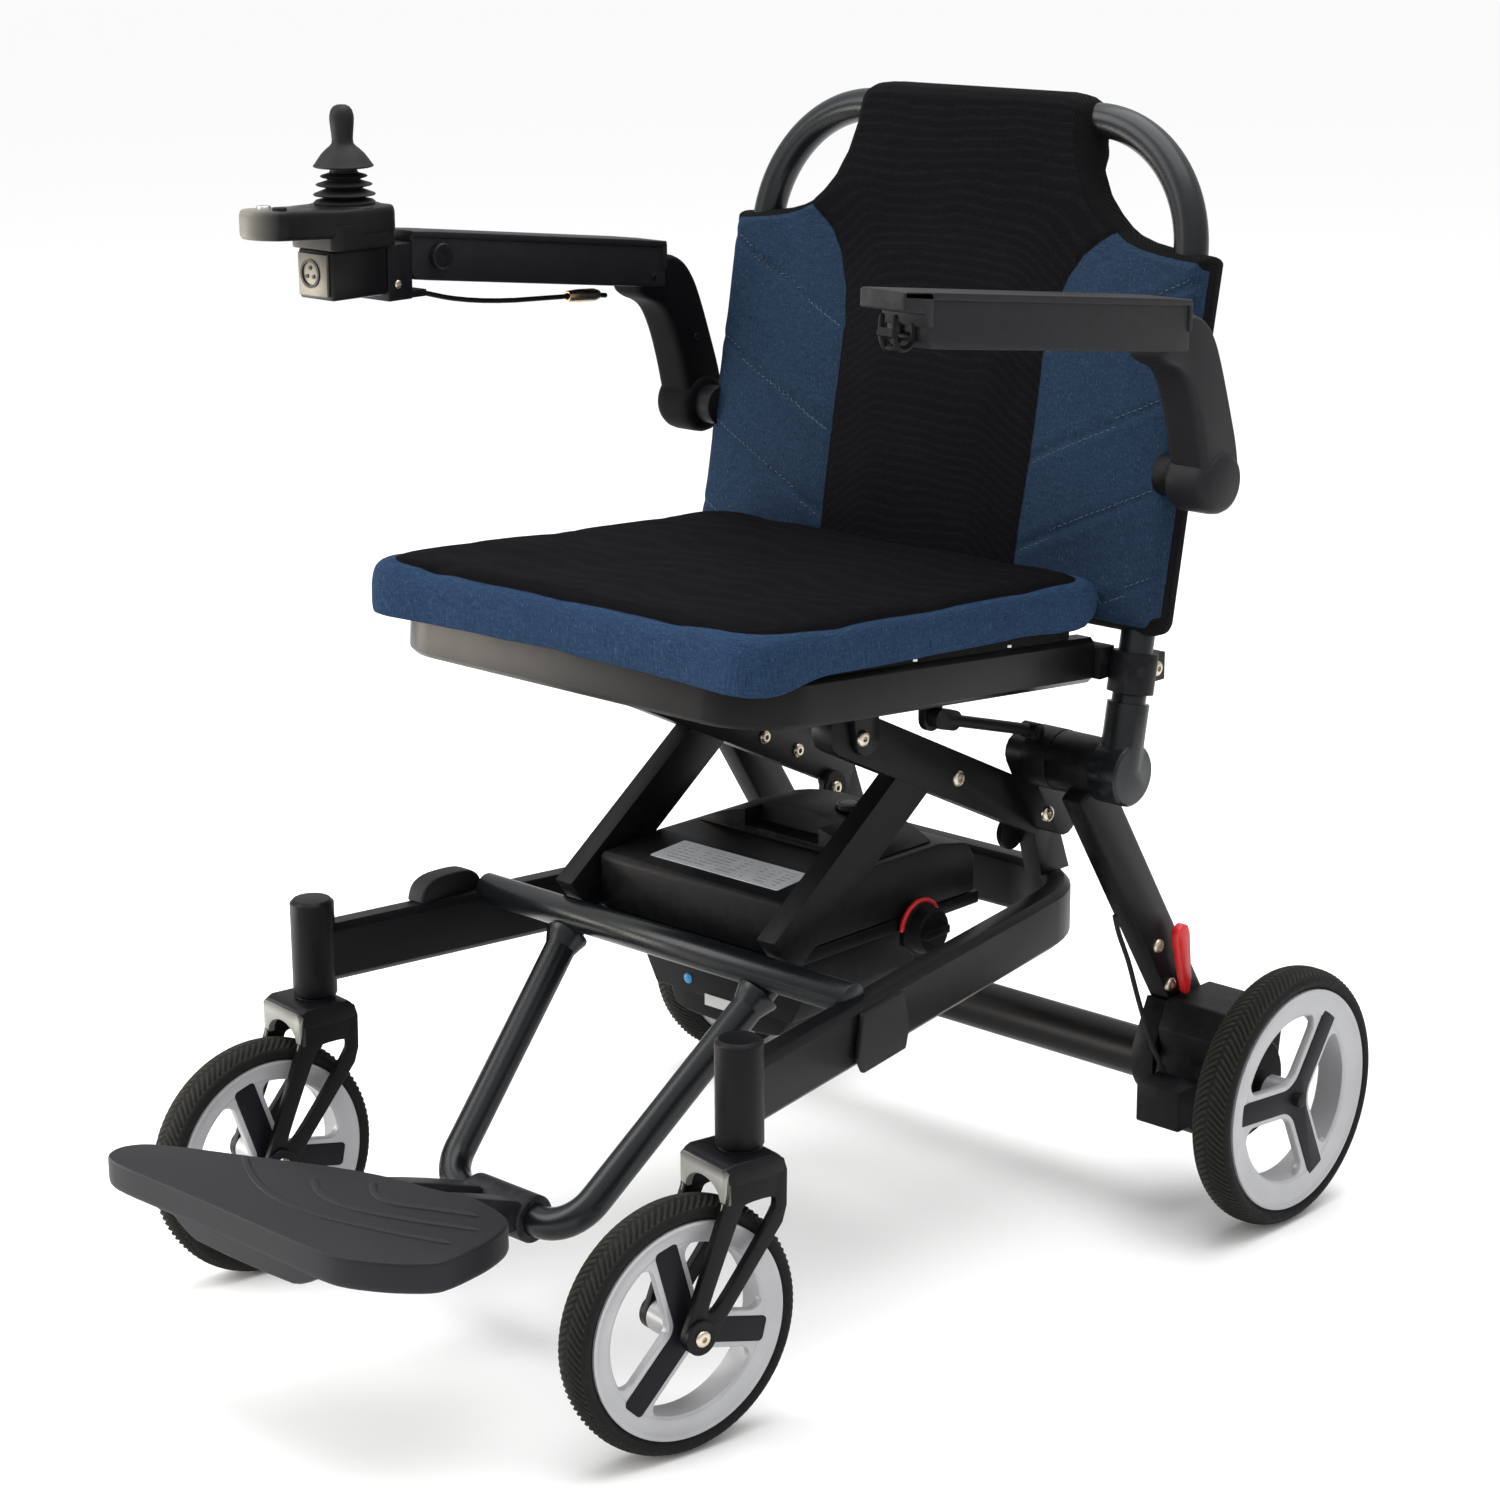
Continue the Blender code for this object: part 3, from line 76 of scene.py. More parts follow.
# ---------------------------------------------------------------- camera
CAMERA_AZIMUTH, CAMERA_ELEVATION, CAMERA_ROLL = map(math.radians, (43.3624, 15.5856, -0.3599))
CAMERA_PLACE = world(1.7396, -1.8679, 1.1144)
FOCAL_PIXELS, PHOTO_PIXELS, SENSOR = 3344.19, 1500, 36.0
camera = bpy.data.objects.new("camera", bpy.data.cameras.new("camera"))
bpy.context.scene.collection.objects.link(camera)
sa, ca = math.sin(CAMERA_AZIMUTH), math.cos(CAMERA_AZIMUTH)
se, ce = math.sin(CAMERA_ELEVATION), math.cos(CAMERA_ELEVATION)
sr, cr = math.sin(CAMERA_ROLL), math.cos(CAMERA_ROLL)
right = Vector((ca, sa, 0))
back = Vector((sa * ce, -ca * ce, se))
up = back.cross(right)
columns = (right * cr + up * sr, up * cr - right * sr, back, CAMERA_PLACE)
camera.matrix_world = Matrix([[column[i] for column in columns] for i in range(3)] + [[0, 0, 0, 1]])
camera.data.sensor_width = SENSOR
camera.data.lens = FOCAL_PIXELS / PHOTO_PIXELS * SENSOR
camera.data.clip_start, camera.data.clip_end = 0.05, 300.0
bpy.context.scene.camera = camera


# ---------------------------------------------------------------- materials
class Nodes:
    """A small helper for building a procedural material."""

    def __init__(self, name, rough, metal, colour, **sockets):
        self.mat = bpy.data.materials.new(name)
        self.mat.use_nodes = True
        self.mat.diffuse_color = (*colour, 1)
        self.tree = self.mat.node_tree
        self.bsdf = self.tree.nodes["Principled BSDF"]
        sockets.update({"Roughness": rough, "Metallic": metal, "Base Color": colour})
        for key, value in sockets.items():
            self.put(self.bsdf.inputs[key.replace("_", " ")], value)
        self.coords = self.add("ShaderNodeTexCoord").outputs["Object"]

    def put(self, socket, value):
        """A number, a vector or colour, or a link from another node's output."""
        if isinstance(value, (int, float)):
            socket.default_value = value
        elif isinstance(value, (tuple, list)):
            socket.default_value = value if len(value) == len(socket.default_value) else (*value, 1)
        else:
            self.tree.links.new(value, socket)

    def add(self, kind, inputs=None, **values):
        node = self.tree.nodes.new(kind)
        for key, value in values.items():
            setattr(node, key, value)
        for key, value in (inputs or {}).items():
            self.put(node.inputs[key], value)
        return node

    def math(self, op, a, b=None):
        return self.add("ShaderNodeMath", {0: a} if b is None else {0: a, 1: b}, operation=op).outputs[0]

    def scaled(self, *factors):
        return self.add("ShaderNodeVectorMath", {0: self.coords, 1: factors}, operation="MULTIPLY").outputs[0]

    def noise(self, scale, detail=3.0, vector=None):
        return self.add("ShaderNodeTexNoise", {
            "Vector": vector or self.coords, "Scale": scale, "Detail": detail, "Roughness": 0.55}).outputs["Fac"]

    def voronoi(self, scale, feature="F1", randomness=1.0):
        return self.add("ShaderNodeTexVoronoi", {
            "Vector": self.coords, "Scale": scale, "Randomness": randomness}, feature=feature).outputs["Distance"]

    def attribute(self, name):
        return self.add("ShaderNodeAttribute", attribute_type="GEOMETRY", attribute_name=name).outputs["Fac"]

    def span(self, value, low, high, new_low=0.0, new_high=1.0):
        return self.add("ShaderNodeMapRange", {
            "Value": value, "From Min": low, "From Max": high, "To Min": new_low, "To Max": new_high}).outputs["Result"]

    def mix(self, factor, a, b, kind="RGBA"):
        return self.add("ShaderNodeMix", {"Factor": factor, "A": a, "B": b}, data_type=kind).outputs["Result"]

    def between(self, value, a, b, low=0.3, high=0.7):
        """A colour that turns from a to b as the value goes from low to high."""
        return self.mix(self.span(value, low, high), a, b)

    def xyz(self):
        return tuple(self.add("ShaderNodeSeparateXYZ", {0: self.coords}).outputs)

    def finished(self, colour, rough=None, height=None, distance=0.0001, strength=0.3):
        """The material with these for its colour, roughness and bump."""
        self.put(self.bsdf.inputs["Base Color"], colour)
        if rough is not None:
            self.put(self.bsdf.inputs["Roughness"], rough)
        bump = self.add("ShaderNodeBump", {"Strength": strength, "Distance": distance, "Height": height})
        self.put(self.bsdf.inputs["Normal"], bump.outputs["Normal"])
        return self.mat


def coated(name, colour, light, rough, grain, grain_size, worn=None, metal=0.0, **sockets):
    """Paint or moulded plastic: a fine grain, a slow change of tone, and slightly paler edges."""
    m = Nodes(name, rough, metal, colour, **sockets)
    slow, fine = m.noise(9.0, 4.0), m.noise(grain_size, 2.0)
    tone = m.between(slow, colour, light, 0.35, 0.7)
    if worn:
        edge = m.add("ShaderNodeNewGeometry").outputs["Pointiness"]
        speck = m.noise(120.0, 3.0)
        tone = m.mix(m.math("MULTIPLY", m.span(edge, 0.53, 0.62), m.span(speck, 0.45, 0.62)), tone, worn)
    both = m.math("ADD", m.math("MULTIPLY", slow, 0.6), m.math("MULTIPLY", fine, 0.4))
    return m.finished(tone, m.span(both, 0.3, 0.7, rough - 0.05, rough + 0.09), fine, 0.0002, grain)


def metal(name, colour, light, rough):
    m = Nodes(name, rough, 1.0, colour)
    slow, fine = m.noise(35.0, 4.0), m.noise(1800.0, 2.0, m.scaled(1.0, 0.25, 1.0))
    return m.finished(m.between(slow, colour, light), m.span(fine, 0.3, 0.7, rough - 0.06, rough + 0.10), fine,
                      strength=0.4)


def seat_rail_painted_reflection():
    """Dark satin rail with a painted reflection: bronze towards the sitter's right front corner, dark elsewhere."""
    m = Nodes("seat_rail_painted_reflection", 0.32, 0.15, (0.006, 0.006, 0.006), Specular_IOR_Level=0.14)
    slow = m.noise(30.0, 4.0)
    dark = m.between(slow, (0.0045, 0.0044, 0.0046), (0.0080, 0.0078, 0.0078))
    along = m.math("ADD", m.xyz()[0], m.math("MULTIPLY", slow, 0.03))
    # painted reflection: the rail is painted bronze at the sitter's right front, fading into the dark coat
    return m.finished(m.between(along, (0.042, 0.038, 0.032), dark, -0.20, 0.04), m.span(slow, 0.3, 0.7, 0.28, 0.38),
                      m.noise(1500.0, 2.0))


def head_plastic():
    """Black joystick housing whose nose is painted pale, a painted reflection."""
    m = Nodes("joystick_head_plastic", 0.42, 0.0, (0.006, 0.006, 0.006), Specular_IOR_Level=0.16)
    x, y, z = m.xyz()
    slow = m.noise(60.0, 4.0)
    dark = m.between(slow, (0.0042, 0.0042, 0.0048), (0.0075, 0.0074, 0.0078))
    # painted reflection: pale at the nose, fading into the dark housing behind it
    nose = m.math("ADD", m.math("MULTIPLY", x, 0.82), m.math("MULTIPLY", y, 0.57))
    nose = m.math("ADD", nose, m.math("MULTIPLY", slow, 0.006))
    return m.finished(m.between(nose, (0.180, 0.170, 0.148), dark, -0.3400, -0.3120),
                      m.span(slow, 0.3, 0.7, 0.38, 0.50), m.noise(1300.0, 2.0), strength=0.4)


def rim_paint():
    m = Nodes("rim_silver_paint", 0.40, 0.30, (0.36, 0.36, 0.37), Specular_IOR_Level=0.3)
    flake, slow = m.voronoi(2600.0), m.noise(14.0, 4.0)
    tone = m.between(slow, (0.330, 0.332, 0.345), (0.400, 0.402, 0.412), 0.35, 0.68)
    return m.finished(m.mix(m.span(flake, 0.0, 0.6, 0.0, 0.16), tone, (0.55, 0.55, 0.56)),
                      m.span(slow, 0.3, 0.7, 0.31, 0.42), flake, 0.00005, 0.25)


def tyre_rubber():
    m = Nodes("tyre_rubber", 0.72, 0.0, (0.008, 0.008, 0.006), Specular_IOR_Level=0.20)
    slow, dust = m.noise(22.0, 5.0), m.noise(260.0, 4.0)
    tone = m.between(slow, (0.0032, 0.0033, 0.0034), (0.0060, 0.0060, 0.0056))
    tone = m.mix(m.span(dust, 0.55, 0.8, 0.0, 0.5), tone, (0.024, 0.023, 0.016))
    # painted highlight: the raised tread (land) is painted paler than the grooves and the sidewall
    return m.finished(m.between(m.attribute("land"), tone, (0.0170, 0.0168, 0.0120), 0.1, 0.9),
                      m.span(dust, 0.3, 0.7, 0.62, 0.86), dust, 0.0003, 0.4)


def fork_face():
    """Satin front face with a painted reflection: pale below, dark where it rolls over the top."""
    m = Nodes("fork_front_satin", 0.42, 0.15, (0.20, 0.20, 0.19))
    slow = m.noise(25.0, 4.0)
    height = m.math("ADD", m.xyz()[2], m.math("MULTIPLY", slow, 0.002))
    # painted reflection: the pale tone below stands in for light reflected off black paint
    pale = m.between(slow, (0.235, 0.235, 0.215), (0.300, 0.300, 0.275))
    return m.finished(m.between(height, pale, (0.010, 0.010, 0.012), 0.2075, 0.2135),
                      m.span(slow, 0.3, 0.7, 0.36, 0.50), m.noise(1500.0, 2.0))


def printed_label():
    """Silver sticker with rows of plain bars where a maker's table would be."""
    m = Nodes("battery_label", 0.38, 0.2, (0.42, 0.43, 0.45))
    x, y, z = m.xyz()
    rows = m.span(m.math("SINE", m.math("MULTIPLY", y, 1150.0)), 0.15, 0.55)
    bars = m.noise(1.0, 1.0, m.scaled(170.0, 30.0, 1.0))
    block = m.math("MULTIPLY", rows, m.span(bars, 0.44, 0.50))
    within = [m.math("LESS_THAN", m.math("ABSOLUTE", m.math("SUBTRACT", place, middle)), reach)
              for place, middle, reach in ((x, 0.009, 0.061), (y, ORIGIN_Y - 0.0595, 0.0150))]
    slow = m.noise(40.0, 3.0)
    base = m.between(slow, (0.66, 0.69, 0.72), (0.80, 0.82, 0.85))
    printed = m.math("MULTIPLY", m.math("MULTIPLY", block, m.math("MULTIPLY", *within)), 0.75)
    return m.finished(m.mix(printed, base, (0.36, 0.38, 0.41)), m.span(slow, 0.3, 0.7, 0.32, 0.46), slow, strength=0.2)


def crossed_threads(m, warp_scale, weft_scale, share):
    """The height of a weave: warp and weft threads laid over each other."""
    warp, weft = (m.noise(1.0, 2.0, m.scaled(*scale)) for scale in (warp_scale, weft_scale))
    return m.math("ADD", m.math("MULTIPLY", warp, share), m.math("MULTIPLY", weft, 1 - share))


def sling_cloth():
    m = Nodes("seat_sling_cloth", 0.88, 0.0, (0.006, 0.006, 0.007), Specular_IOR_Level=0.1)
    cross = crossed_threads(m, (1400.0, 120.0, 300.0), (120.0, 1400.0, 300.0), 0.5)
    return m.finished(m.between(cross, (0.0030, 0.0030, 0.0036), (0.0085, 0.0085, 0.0095), 0.35, 0.65), None,
                      cross, 0.0005, 0.6)


def thread_material():
    m = Nodes("stitch_thread", 0.75, 0.0, (0.05, 0.09, 0.13), Sheen_Weight=0.2)
    twist = m.noise(1800.0, 2.0)
    return m.finished(m.between(twist, (0.020, 0.044, 0.068), (0.044, 0.080, 0.108)), None, twist, 0.0002, 0.6)


def upholstery(name, navy_light_gain, mesh_light_gain):
    """Navy melange cloth and black spacer mesh, divided by the mesh's own "navy" distance; the gains paint light and
    shade into each copy.
    """
    m = Nodes(name, 0.85, 0.0, (0.014, 0.030, 0.065), Sheen_Roughness=0.5, Sheen_Weight=0.006,
              Sheen_Tint=(0.45, 0.55, 0.75, 1.0), Specular_IOR_Level=0.035)

    def navy_toned(*colour):
        return tuple(c * g for c, g in zip(colour, navy_light_gain))

    def mesh_toned(*colour):
        return tuple(c * mesh_light_gain for c in colour)

    side = m.span(m.attribute("navy"), -0.0005, 0.0005)
    # navy: crossing threads with slubs
    cross = crossed_threads(m, (1500.0, 1500.0, 95.0), (110.0, 110.0, 1500.0), 0.6)
    cloud = m.noise(11.0, 5.0)
    navy = m.between(cross, navy_toned(0.0080, 0.0190, 0.0450), navy_toned(0.0200, 0.0490, 0.1010), 0.36, 0.64)
    navy = m.mix(m.span(cloud, 0.30, 0.72, 0.0, 0.42), navy, navy_toned(0.0115, 0.0260, 0.0560))
    fleck = m.noise(1.0, 1.0, m.scaled(900.0, 900.0, 300.0))
    navy = m.mix(m.span(fleck, 0.62, 0.78, 0.0, 0.45), navy, navy_toned(0.060, 0.110, 0.175))
    # black: a knitted mesh of small open cells
    cell = m.voronoi(620.0, "DISTANCE_TO_EDGE", 0.35)
    fuzz = m.noise(700.0, 3.0)
    mesh = m.between(cell, mesh_toned(0.0068, 0.0062, 0.0075), mesh_toned(0.0018, 0.0017, 0.0022), 0.04, 0.22)
    mesh = m.mix(m.span(fuzz, 0.45, 0.8, 0.0, 0.5), mesh, mesh_toned(0.0085, 0.0080, 0.0092))
    # the woven tape round the edge
    tape = m.span(m.attribute("tape"), -0.0003, 0.0003)
    rib = m.math("SINE", m.math("MULTIPLY", m.attribute("along"), 2600.0))
    tape_colour = m.between(rib, (0.0035, 0.0035, 0.0038), (0.0080, 0.0080, 0.0078), -1.0, 1.0)
    height = m.mix(side, m.math("MULTIPLY", cell, 1.6), cross, "FLOAT")
    height = m.mix(tape, height, m.math("MULTIPLY", rib, 0.5), "FLOAT")
    return m.finished(m.mix(tape, m.mix(side, mesh, navy), tape_colour), m.span(cloud, 0.3, 0.7, 0.80, 0.93),
                      height, 0.0006, 0.75)


MAT = {"seat_bar": seat_rail_painted_reflection(), "head": head_plastic(), "rim": rim_paint(), "tyre": tyre_rubber(),
       "fork_face": fork_face(), "label": printed_label(), "sling": sling_cloth(), "thread": thread_material(),
       # painted light: one cloth in two copies; the seat's black mesh is painted half as dark, painted shade on its
       # top, and the navy gains differ
       "back_cloth": upholstery("back_upholstery", (1.05, 0.86, 0.75), 1.0),
       "seat_cloth": upholstery("seat_upholstery", (1.2, 1.08, 1.04), 0.5)}
# key: name, colour, paler colour, roughness, depth and scale of the grain, colour of worn edges, specular level
for key, *look, worn, specular in (
    ("frame", "frame_black_coat", (0.0032, 0.0032, 0.0040), (0.0050, 0.0050, 0.0062), 0.38, 0.35, 1500.0,
     (0.014, 0.014, 0.016), 0.13),
    # painted shade: a darker, less glossy copy of the grey arm plastic, for the right upright only
    ("dull_arm", "arm_plastic_dull", (0.0030, 0.0030, 0.0038), (0.0050, 0.0049, 0.0058), 0.58, 0.45, 1200.0,
     (0.012, 0.012, 0.014), 0.04),
    ("tube", "tube_black_gloss", (0.0042, 0.0052, 0.0064), (0.0060, 0.0074, 0.0092), 0.27, 0.18, 1500.0,
     (0.0090, 0.0105, 0.0125), 0.32),
    ("plastic", "black_moulded", (0.0035, 0.0035, 0.0044), (0.0060, 0.0060, 0.0072), 0.46, 0.55, 1300.0,
     (0.013, 0.013, 0.015), 0.12),
    ("soft_plastic", "black_satin_plastic", (0.0030, 0.0030, 0.0036), (0.0050, 0.0050, 0.0058), 0.34, 0.25, 1500.0,
     None, 0.22),
    ("case", "battery_case_plastic", (0.0042, 0.0042, 0.0052), (0.0068, 0.0068, 0.0080), 0.46, 0.5, 1100.0,
     (0.016, 0.016, 0.018), 0.14),
    ("arm", "arm_grey_plastic", (0.0062, 0.0060, 0.0076), (0.0095, 0.0091, 0.0112), 0.50, 0.45, 1200.0,
     (0.024, 0.024, 0.027), 0.20),
    ("foot", "footplate_grey_plastic", (0.0075, 0.0075, 0.0100), (0.0115, 0.0115, 0.0150), 0.50, 0.6, 1000.0,
     (0.036, 0.036, 0.042), 0.22),
    ("rubber", "soft_black_rubber", (0.0035, 0.0035, 0.0040), (0.0060, 0.0060, 0.0068), 0.55, 0.5, 1400.0, None, 0.24),
    ("inlay", "wheel_inlay_black", (0.0045, 0.0048, 0.0072), (0.0068, 0.0072, 0.0100), 0.44, 0.35, 1200.0, None, 0.14),
    ("red", "red_moulded", (0.56, 0.010, 0.014), (0.66, 0.016, 0.020), 0.33, 0.2, 1200.0, None, 0.5),
    ("blue", "blue_dot", (0.02, 0.30, 0.62), (0.03, 0.36, 0.70), 0.35, 0.1, 800.0, None, 0.5),
    ("white", "white_print", (0.60, 0.61, 0.60), (0.70, 0.71, 0.70), 0.5, 0.1, 800.0, None, 0.5),
):
    MAT[key] = coated(*look, worn, Specular_IOR_Level=specular)
for key, *look in (
    ("bolt", "bolt_champagne", (0.50, 0.44, 0.35), (0.62, 0.56, 0.46), 0.28),
    ("steel", "bright_steel", (0.55, 0.54, 0.52), (0.66, 0.65, 0.63), 0.26),
    ("brass", "connector_brass", (0.42, 0.30, 0.19), (0.55, 0.42, 0.28), 0.30),
    ("plate", "socket_plate", (0.105, 0.097, 0.083), (0.155, 0.145, 0.125), 0.42),
):
    MAT[key] = metal(*look)


# ---------------------------------------------------------------- shapes
def link(name, bm, mat, smooth=35.0):
    """An object made from a bmesh, shaded smooth below the given edge angle."""
    for face in bm.faces:
        face.smooth = True
    limit = math.radians(smooth)
    for edge in bm.edges:
        edge.smooth = len(edge.link_faces) == 2 and edge.calc_face_angle(0.0) < limit
    mesh = bpy.data.meshes.new(name)
    bm.to_mesh(mesh)
    bm.free()
    obj = bpy.data.objects.new(name, mesh)
    mesh.materials.append(mat)
    bpy.context.scene.collection.objects.link(obj)
    return obj


def piece(name, bm, look, body, smooth=35.0, stands_for=()):
    """A closed piece of one material that rides a body."""
    bmesh.ops.recalc_face_normals(bm, faces=bm.faces)
    obj = link(name, bm, MAT[look], smooth)
    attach(obj, body)
    if stands_for:
        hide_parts(*stands_for)


def shown(node, bm, look, smooth=35.0, name=None):
    """A piece that stands for a CAD node."""
    piece(name or node + "_shown", bm, look, BODY_OF[node], smooth, (node,))


def soft_edges(bm, width, segments, angle):
    picked = [e for e in bm.edges if len(e.link_faces) == 2 and e.calc_face_angle(0.0) > math.radians(angle)]
    bmesh.ops.bevel(bm, geom=picked, offset=width, segments=segments, profile=0.5, affect="EDGES", clamp_overlap=True)


def refined(node, look):
    """A CAD node with its edges rounded, standing for the node."""
    bm = bmesh.new()
    bm.from_mesh(NODES[node].data)
    bmesh.ops.remove_doubles(bm, verts=bm.verts, dist=1e-6)
    bmesh.ops.dissolve_limit(bm, angle_limit=math.radians(1.0), verts=bm.verts, edges=bm.edges)
    soft_edges(bm, 0.0006, 2, 35.0)
    shown(node, bm, look, 38.0)


def around(count):
    return [2 * math.pi * k / count for k in range(count)]


def skin(bm, rings, closed=False):
    """Faces between neighbouring rings of points, and over the two ends unless the rings close."""
    count = len(rings[0])
    for one, two in zip(rings, rings[1:] + (rings[:1] if closed else [])):
        for k in range(count):
            m = (k + 1) % count
            bm.faces.new((one[k], one[m], two[m], two[k]))
    if not closed:
        bm.faces.new(rings[0][::-1])
        bm.faces.new(rings[-1])


def add_part(bm, make, *shape):
    """One part made in a mesh of its own, so that it stays apart, and added to the piece."""
    part = bmesh.new()
    make(part, *shape)
    mesh = bpy.data.meshes.new("part")
    part.to_mesh(mesh)
    part.free()
    bm.from_mesh(mesh)
    bpy.data.meshes.remove(mesh)


def arc_points(centre, radius, start, stop, count):
    angles = [math.radians(start + (stop - start) * k / count) for k in range(count + 1)]
    return [(centre[0] + radius * math.cos(a), centre[1] + radius * math.sin(a)) for a in angles]


def rounded_rectangle(left, right, near, far, radius, count):
    corners = ((right - radius, far - radius), (left + radius, far - radius), (left + radius, near + radius),
               (right - radius, near + radius))
    return [point for k, corner in enumerate(corners)
            for point in arc_points(corner, radius, 90 * k, 90 * k + 90, count)]


# ---------------------------------------------------------------- back cloth
HINGE_Y, HINGE_Z, POST_LEAN = 0.160, 0.392, math.atan(0.1925)
LEAN_SIN, LEAN_COS = math.sin(POST_LEAN), math.cos(POST_LEAN)
BACK_BOTTOM, BACK_TOP, BACK_HALF = 0.1105, 0.5215, 0.2470
# half outlines as (across, up along the posts)
HEM = mm((237, 110.5), (244, 113.5), (247, 120.5))
NECK = mm(
    (247, 400), (246.2, 403), (243, 404.8), (225, 406), (205, 408.2), (188, 411), (173, 415.5), (163.5, 420.8),
    (152, 430), (139, 443.5), (129, 462), (122.8, 485), (121.2, 500), (119.6, 508.5), (115, 515), (106, 519.6),
    (90, 521.5))
SEAM = mm((104, 100), (104, 155), (105, 200), (105.5, 260), (105.5, 320), (110, 350), (119.5, 378), (131, 395),
          (144, 405.5), (156, 413), (170, 420))
STITCH_X, STITCH_RUN, STITCH_DROP = 0.2340, 0.1285, 0.0600
STITCH_HEIGHTS = (0.3790, 0.2920, 0.2210, 0.1500)
CLOTH_COLUMNS = 168
ROLL = 0.013


def on_back(x, ahead, s):
    """A point given across the back, ahead of the posts' centre line, and up along the posts."""
    return world(x, HINGE_Y - ahead * LEAN_COS + s * LEAN_SIN, HINGE_Z + ahead * LEAN_SIN + s * LEAN_COS)


def smooth_step(value, low, high):
    t = np.clip((value - low) / (high - low), 0, 1)
    return t * t * (3 - 2 * t)


def segment_distance(px, py, ax, ay, bx, by):
    """Distance from many points to one segment."""
    dx, dy = bx - ax, by - ay
    t = np.clip(((px - ax) * dx + (py - ay) * dy) / max(dx * dx + dy * dy, 1e-12), 0, 1)
    return np.hypot(px - ax - t * dx, py - ay - t * dy)


def polyline_distance(px, py, points):
    return np.minimum.reduce([segment_distance(px, py, *a, *b) for a, b in zip(points, points[1:])])


def bell(distance, width):
    return np.exp(-((distance / width) ** 2))


def cloth_folds(x, s):
    """Slow uneven pull of the cloth, in metres."""
    out = np.zeros_like(x)
    for i in range(x.size):
        a, b = x.flat[i], s.flat[i]
        out.flat[i] = (noise.noise(Vector((a * 9.0, b * 14.0, 3.1))) * 0.0016
                       + noise.noise(Vector((a * 30.0, b * 22.0, 7.7))) * 0.0006)
    return out


def make_back():
    heights = np.concatenate([
        np.linspace(BACK_BOTTOM, BACK_BOTTOM + 0.014, 10), np.linspace(BACK_BOTTOM + 0.0165, 0.392, 108),
        np.linspace(0.3935, 0.4240, 34), np.linspace(0.4265, 0.5080, 28), np.linspace(0.5095, BACK_TOP, 10)])
    rows, cols = len(heights), CLOTH_COLUMNS
    u = np.linspace(-1, 1, cols + 1)
    s = np.repeat(heights[:, None], cols + 1, axis=1)
    x = (np.interp(s, [p[1] for p in HEM + NECK], [p[0] for p in HEM + NECK])
         * (0.5 * u + 0.5 * np.sin(u * math.pi / 2))[None, :])
    ax = np.abs(x)
    to_side = polyline_distance(ax, s, [HEM[-1], NECK[0]])
    to_neck = polyline_distance(ax, s, NECK + [(0.0, BACK_TOP)])
    to_bottom = polyline_distance(ax, s, [(0.0, BACK_BOTTOM)] + HEM)
    to_edge = np.minimum(np.minimum(to_side, to_neck), to_bottom)
    seam_x = np.interp(s, [p[1] for p in SEAM], [p[0] for p in SEAM])
    seam_line = polyline_distance(ax, s, SEAM)
    outer = np.where(ax > seam_x, 1.0, 0.0)
    k = np.sqrt(np.clip(1 - (1 - np.clip(to_edge / ROLL, 0, 1)) ** 2, 0, 1))
    # front: taut over the posts, softly stuffed between the seams
    puff_mid = 0.0052 * smooth_step(seam_line, 0.0, 0.055) * (1 - outer)
    puff_side = 0.0030 * smooth_step(np.minimum(seam_line, BACK_HALF - ax + 0.004), 0.0, 0.040) * outer
    front = 0.0180 + puff_mid + puff_side + cloth_folds(x, s) - 0.0016 * bell(seam_line, 0.0030)
    for height in STITCH_HEIGHTS:
        line = segment_distance(ax, s, STITCH_X + 0.013, height + STITCH_DROP * 0.1, STITCH_X - STITCH_RUN,
                                height - STITCH_DROP)
        front += (0.0005 * bell(line - 0.008, 0.005) - 0.0011 * bell(line, 0.0028)) * outer
    front -= 0.0010 * bell(to_neck - 0.0085, 0.0016)
    rear = (0.004 - 0.0215 * np.maximum(smooth_step(ax, 0.165, 0.200), smooth_step(s, 0.452, 0.478))
            + 0.6 * cloth_folds(x + 3.0, s))
    tape_front = 0.0075 - np.minimum(to_neck, to_bottom + 0.0015)
    near_side = np.minimum(ax - seam_x, (k - 0.42) * 0.02)
    bm = bmesh.new()
    layers = [bm.verts.layers.float.new(name) for name in ("navy", "tape", "along")]

    def cloth_point(i, j, ahead, navy):
        vert = bm.verts.new(on_back(x[i, j], ahead * k[i, j], s[i, j]))
        for layer, value in zip(layers, (navy, tape_front[i, j], x[i, j] + s[i, j] * 1.4)):
            vert[layer] = float(value)
        return vert

    sheets = [[[None] * (cols + 1) for _ in range(rows)] for _ in range(2)]
    for i in range(rows):
        for j in range(cols + 1):
            sheets[0][i][j] = sheets[1][i][j] = cloth_point(i, j, front[i, j], near_side[i, j])
            if 0 < i < rows - 1 and 0 < j < cols:
                sheets[1][i][j] = cloth_point(i, j, rear[i, j], -0.01)
    for i in range(rows - 1):
        for j in range(cols):
            for sheet, order in zip(sheets, (1, -1)):
                corners = (sheet[i][j], sheet[i][j + 1], sheet[i + 1][j + 1], sheet[i + 1][j])
                bm.faces.new(corners[::order])
    bmesh.ops.recalc_face_normals(bm, faces=bm.faces)
    return link("back_upholstery", bm, MAT["back_cloth"], 70.0)


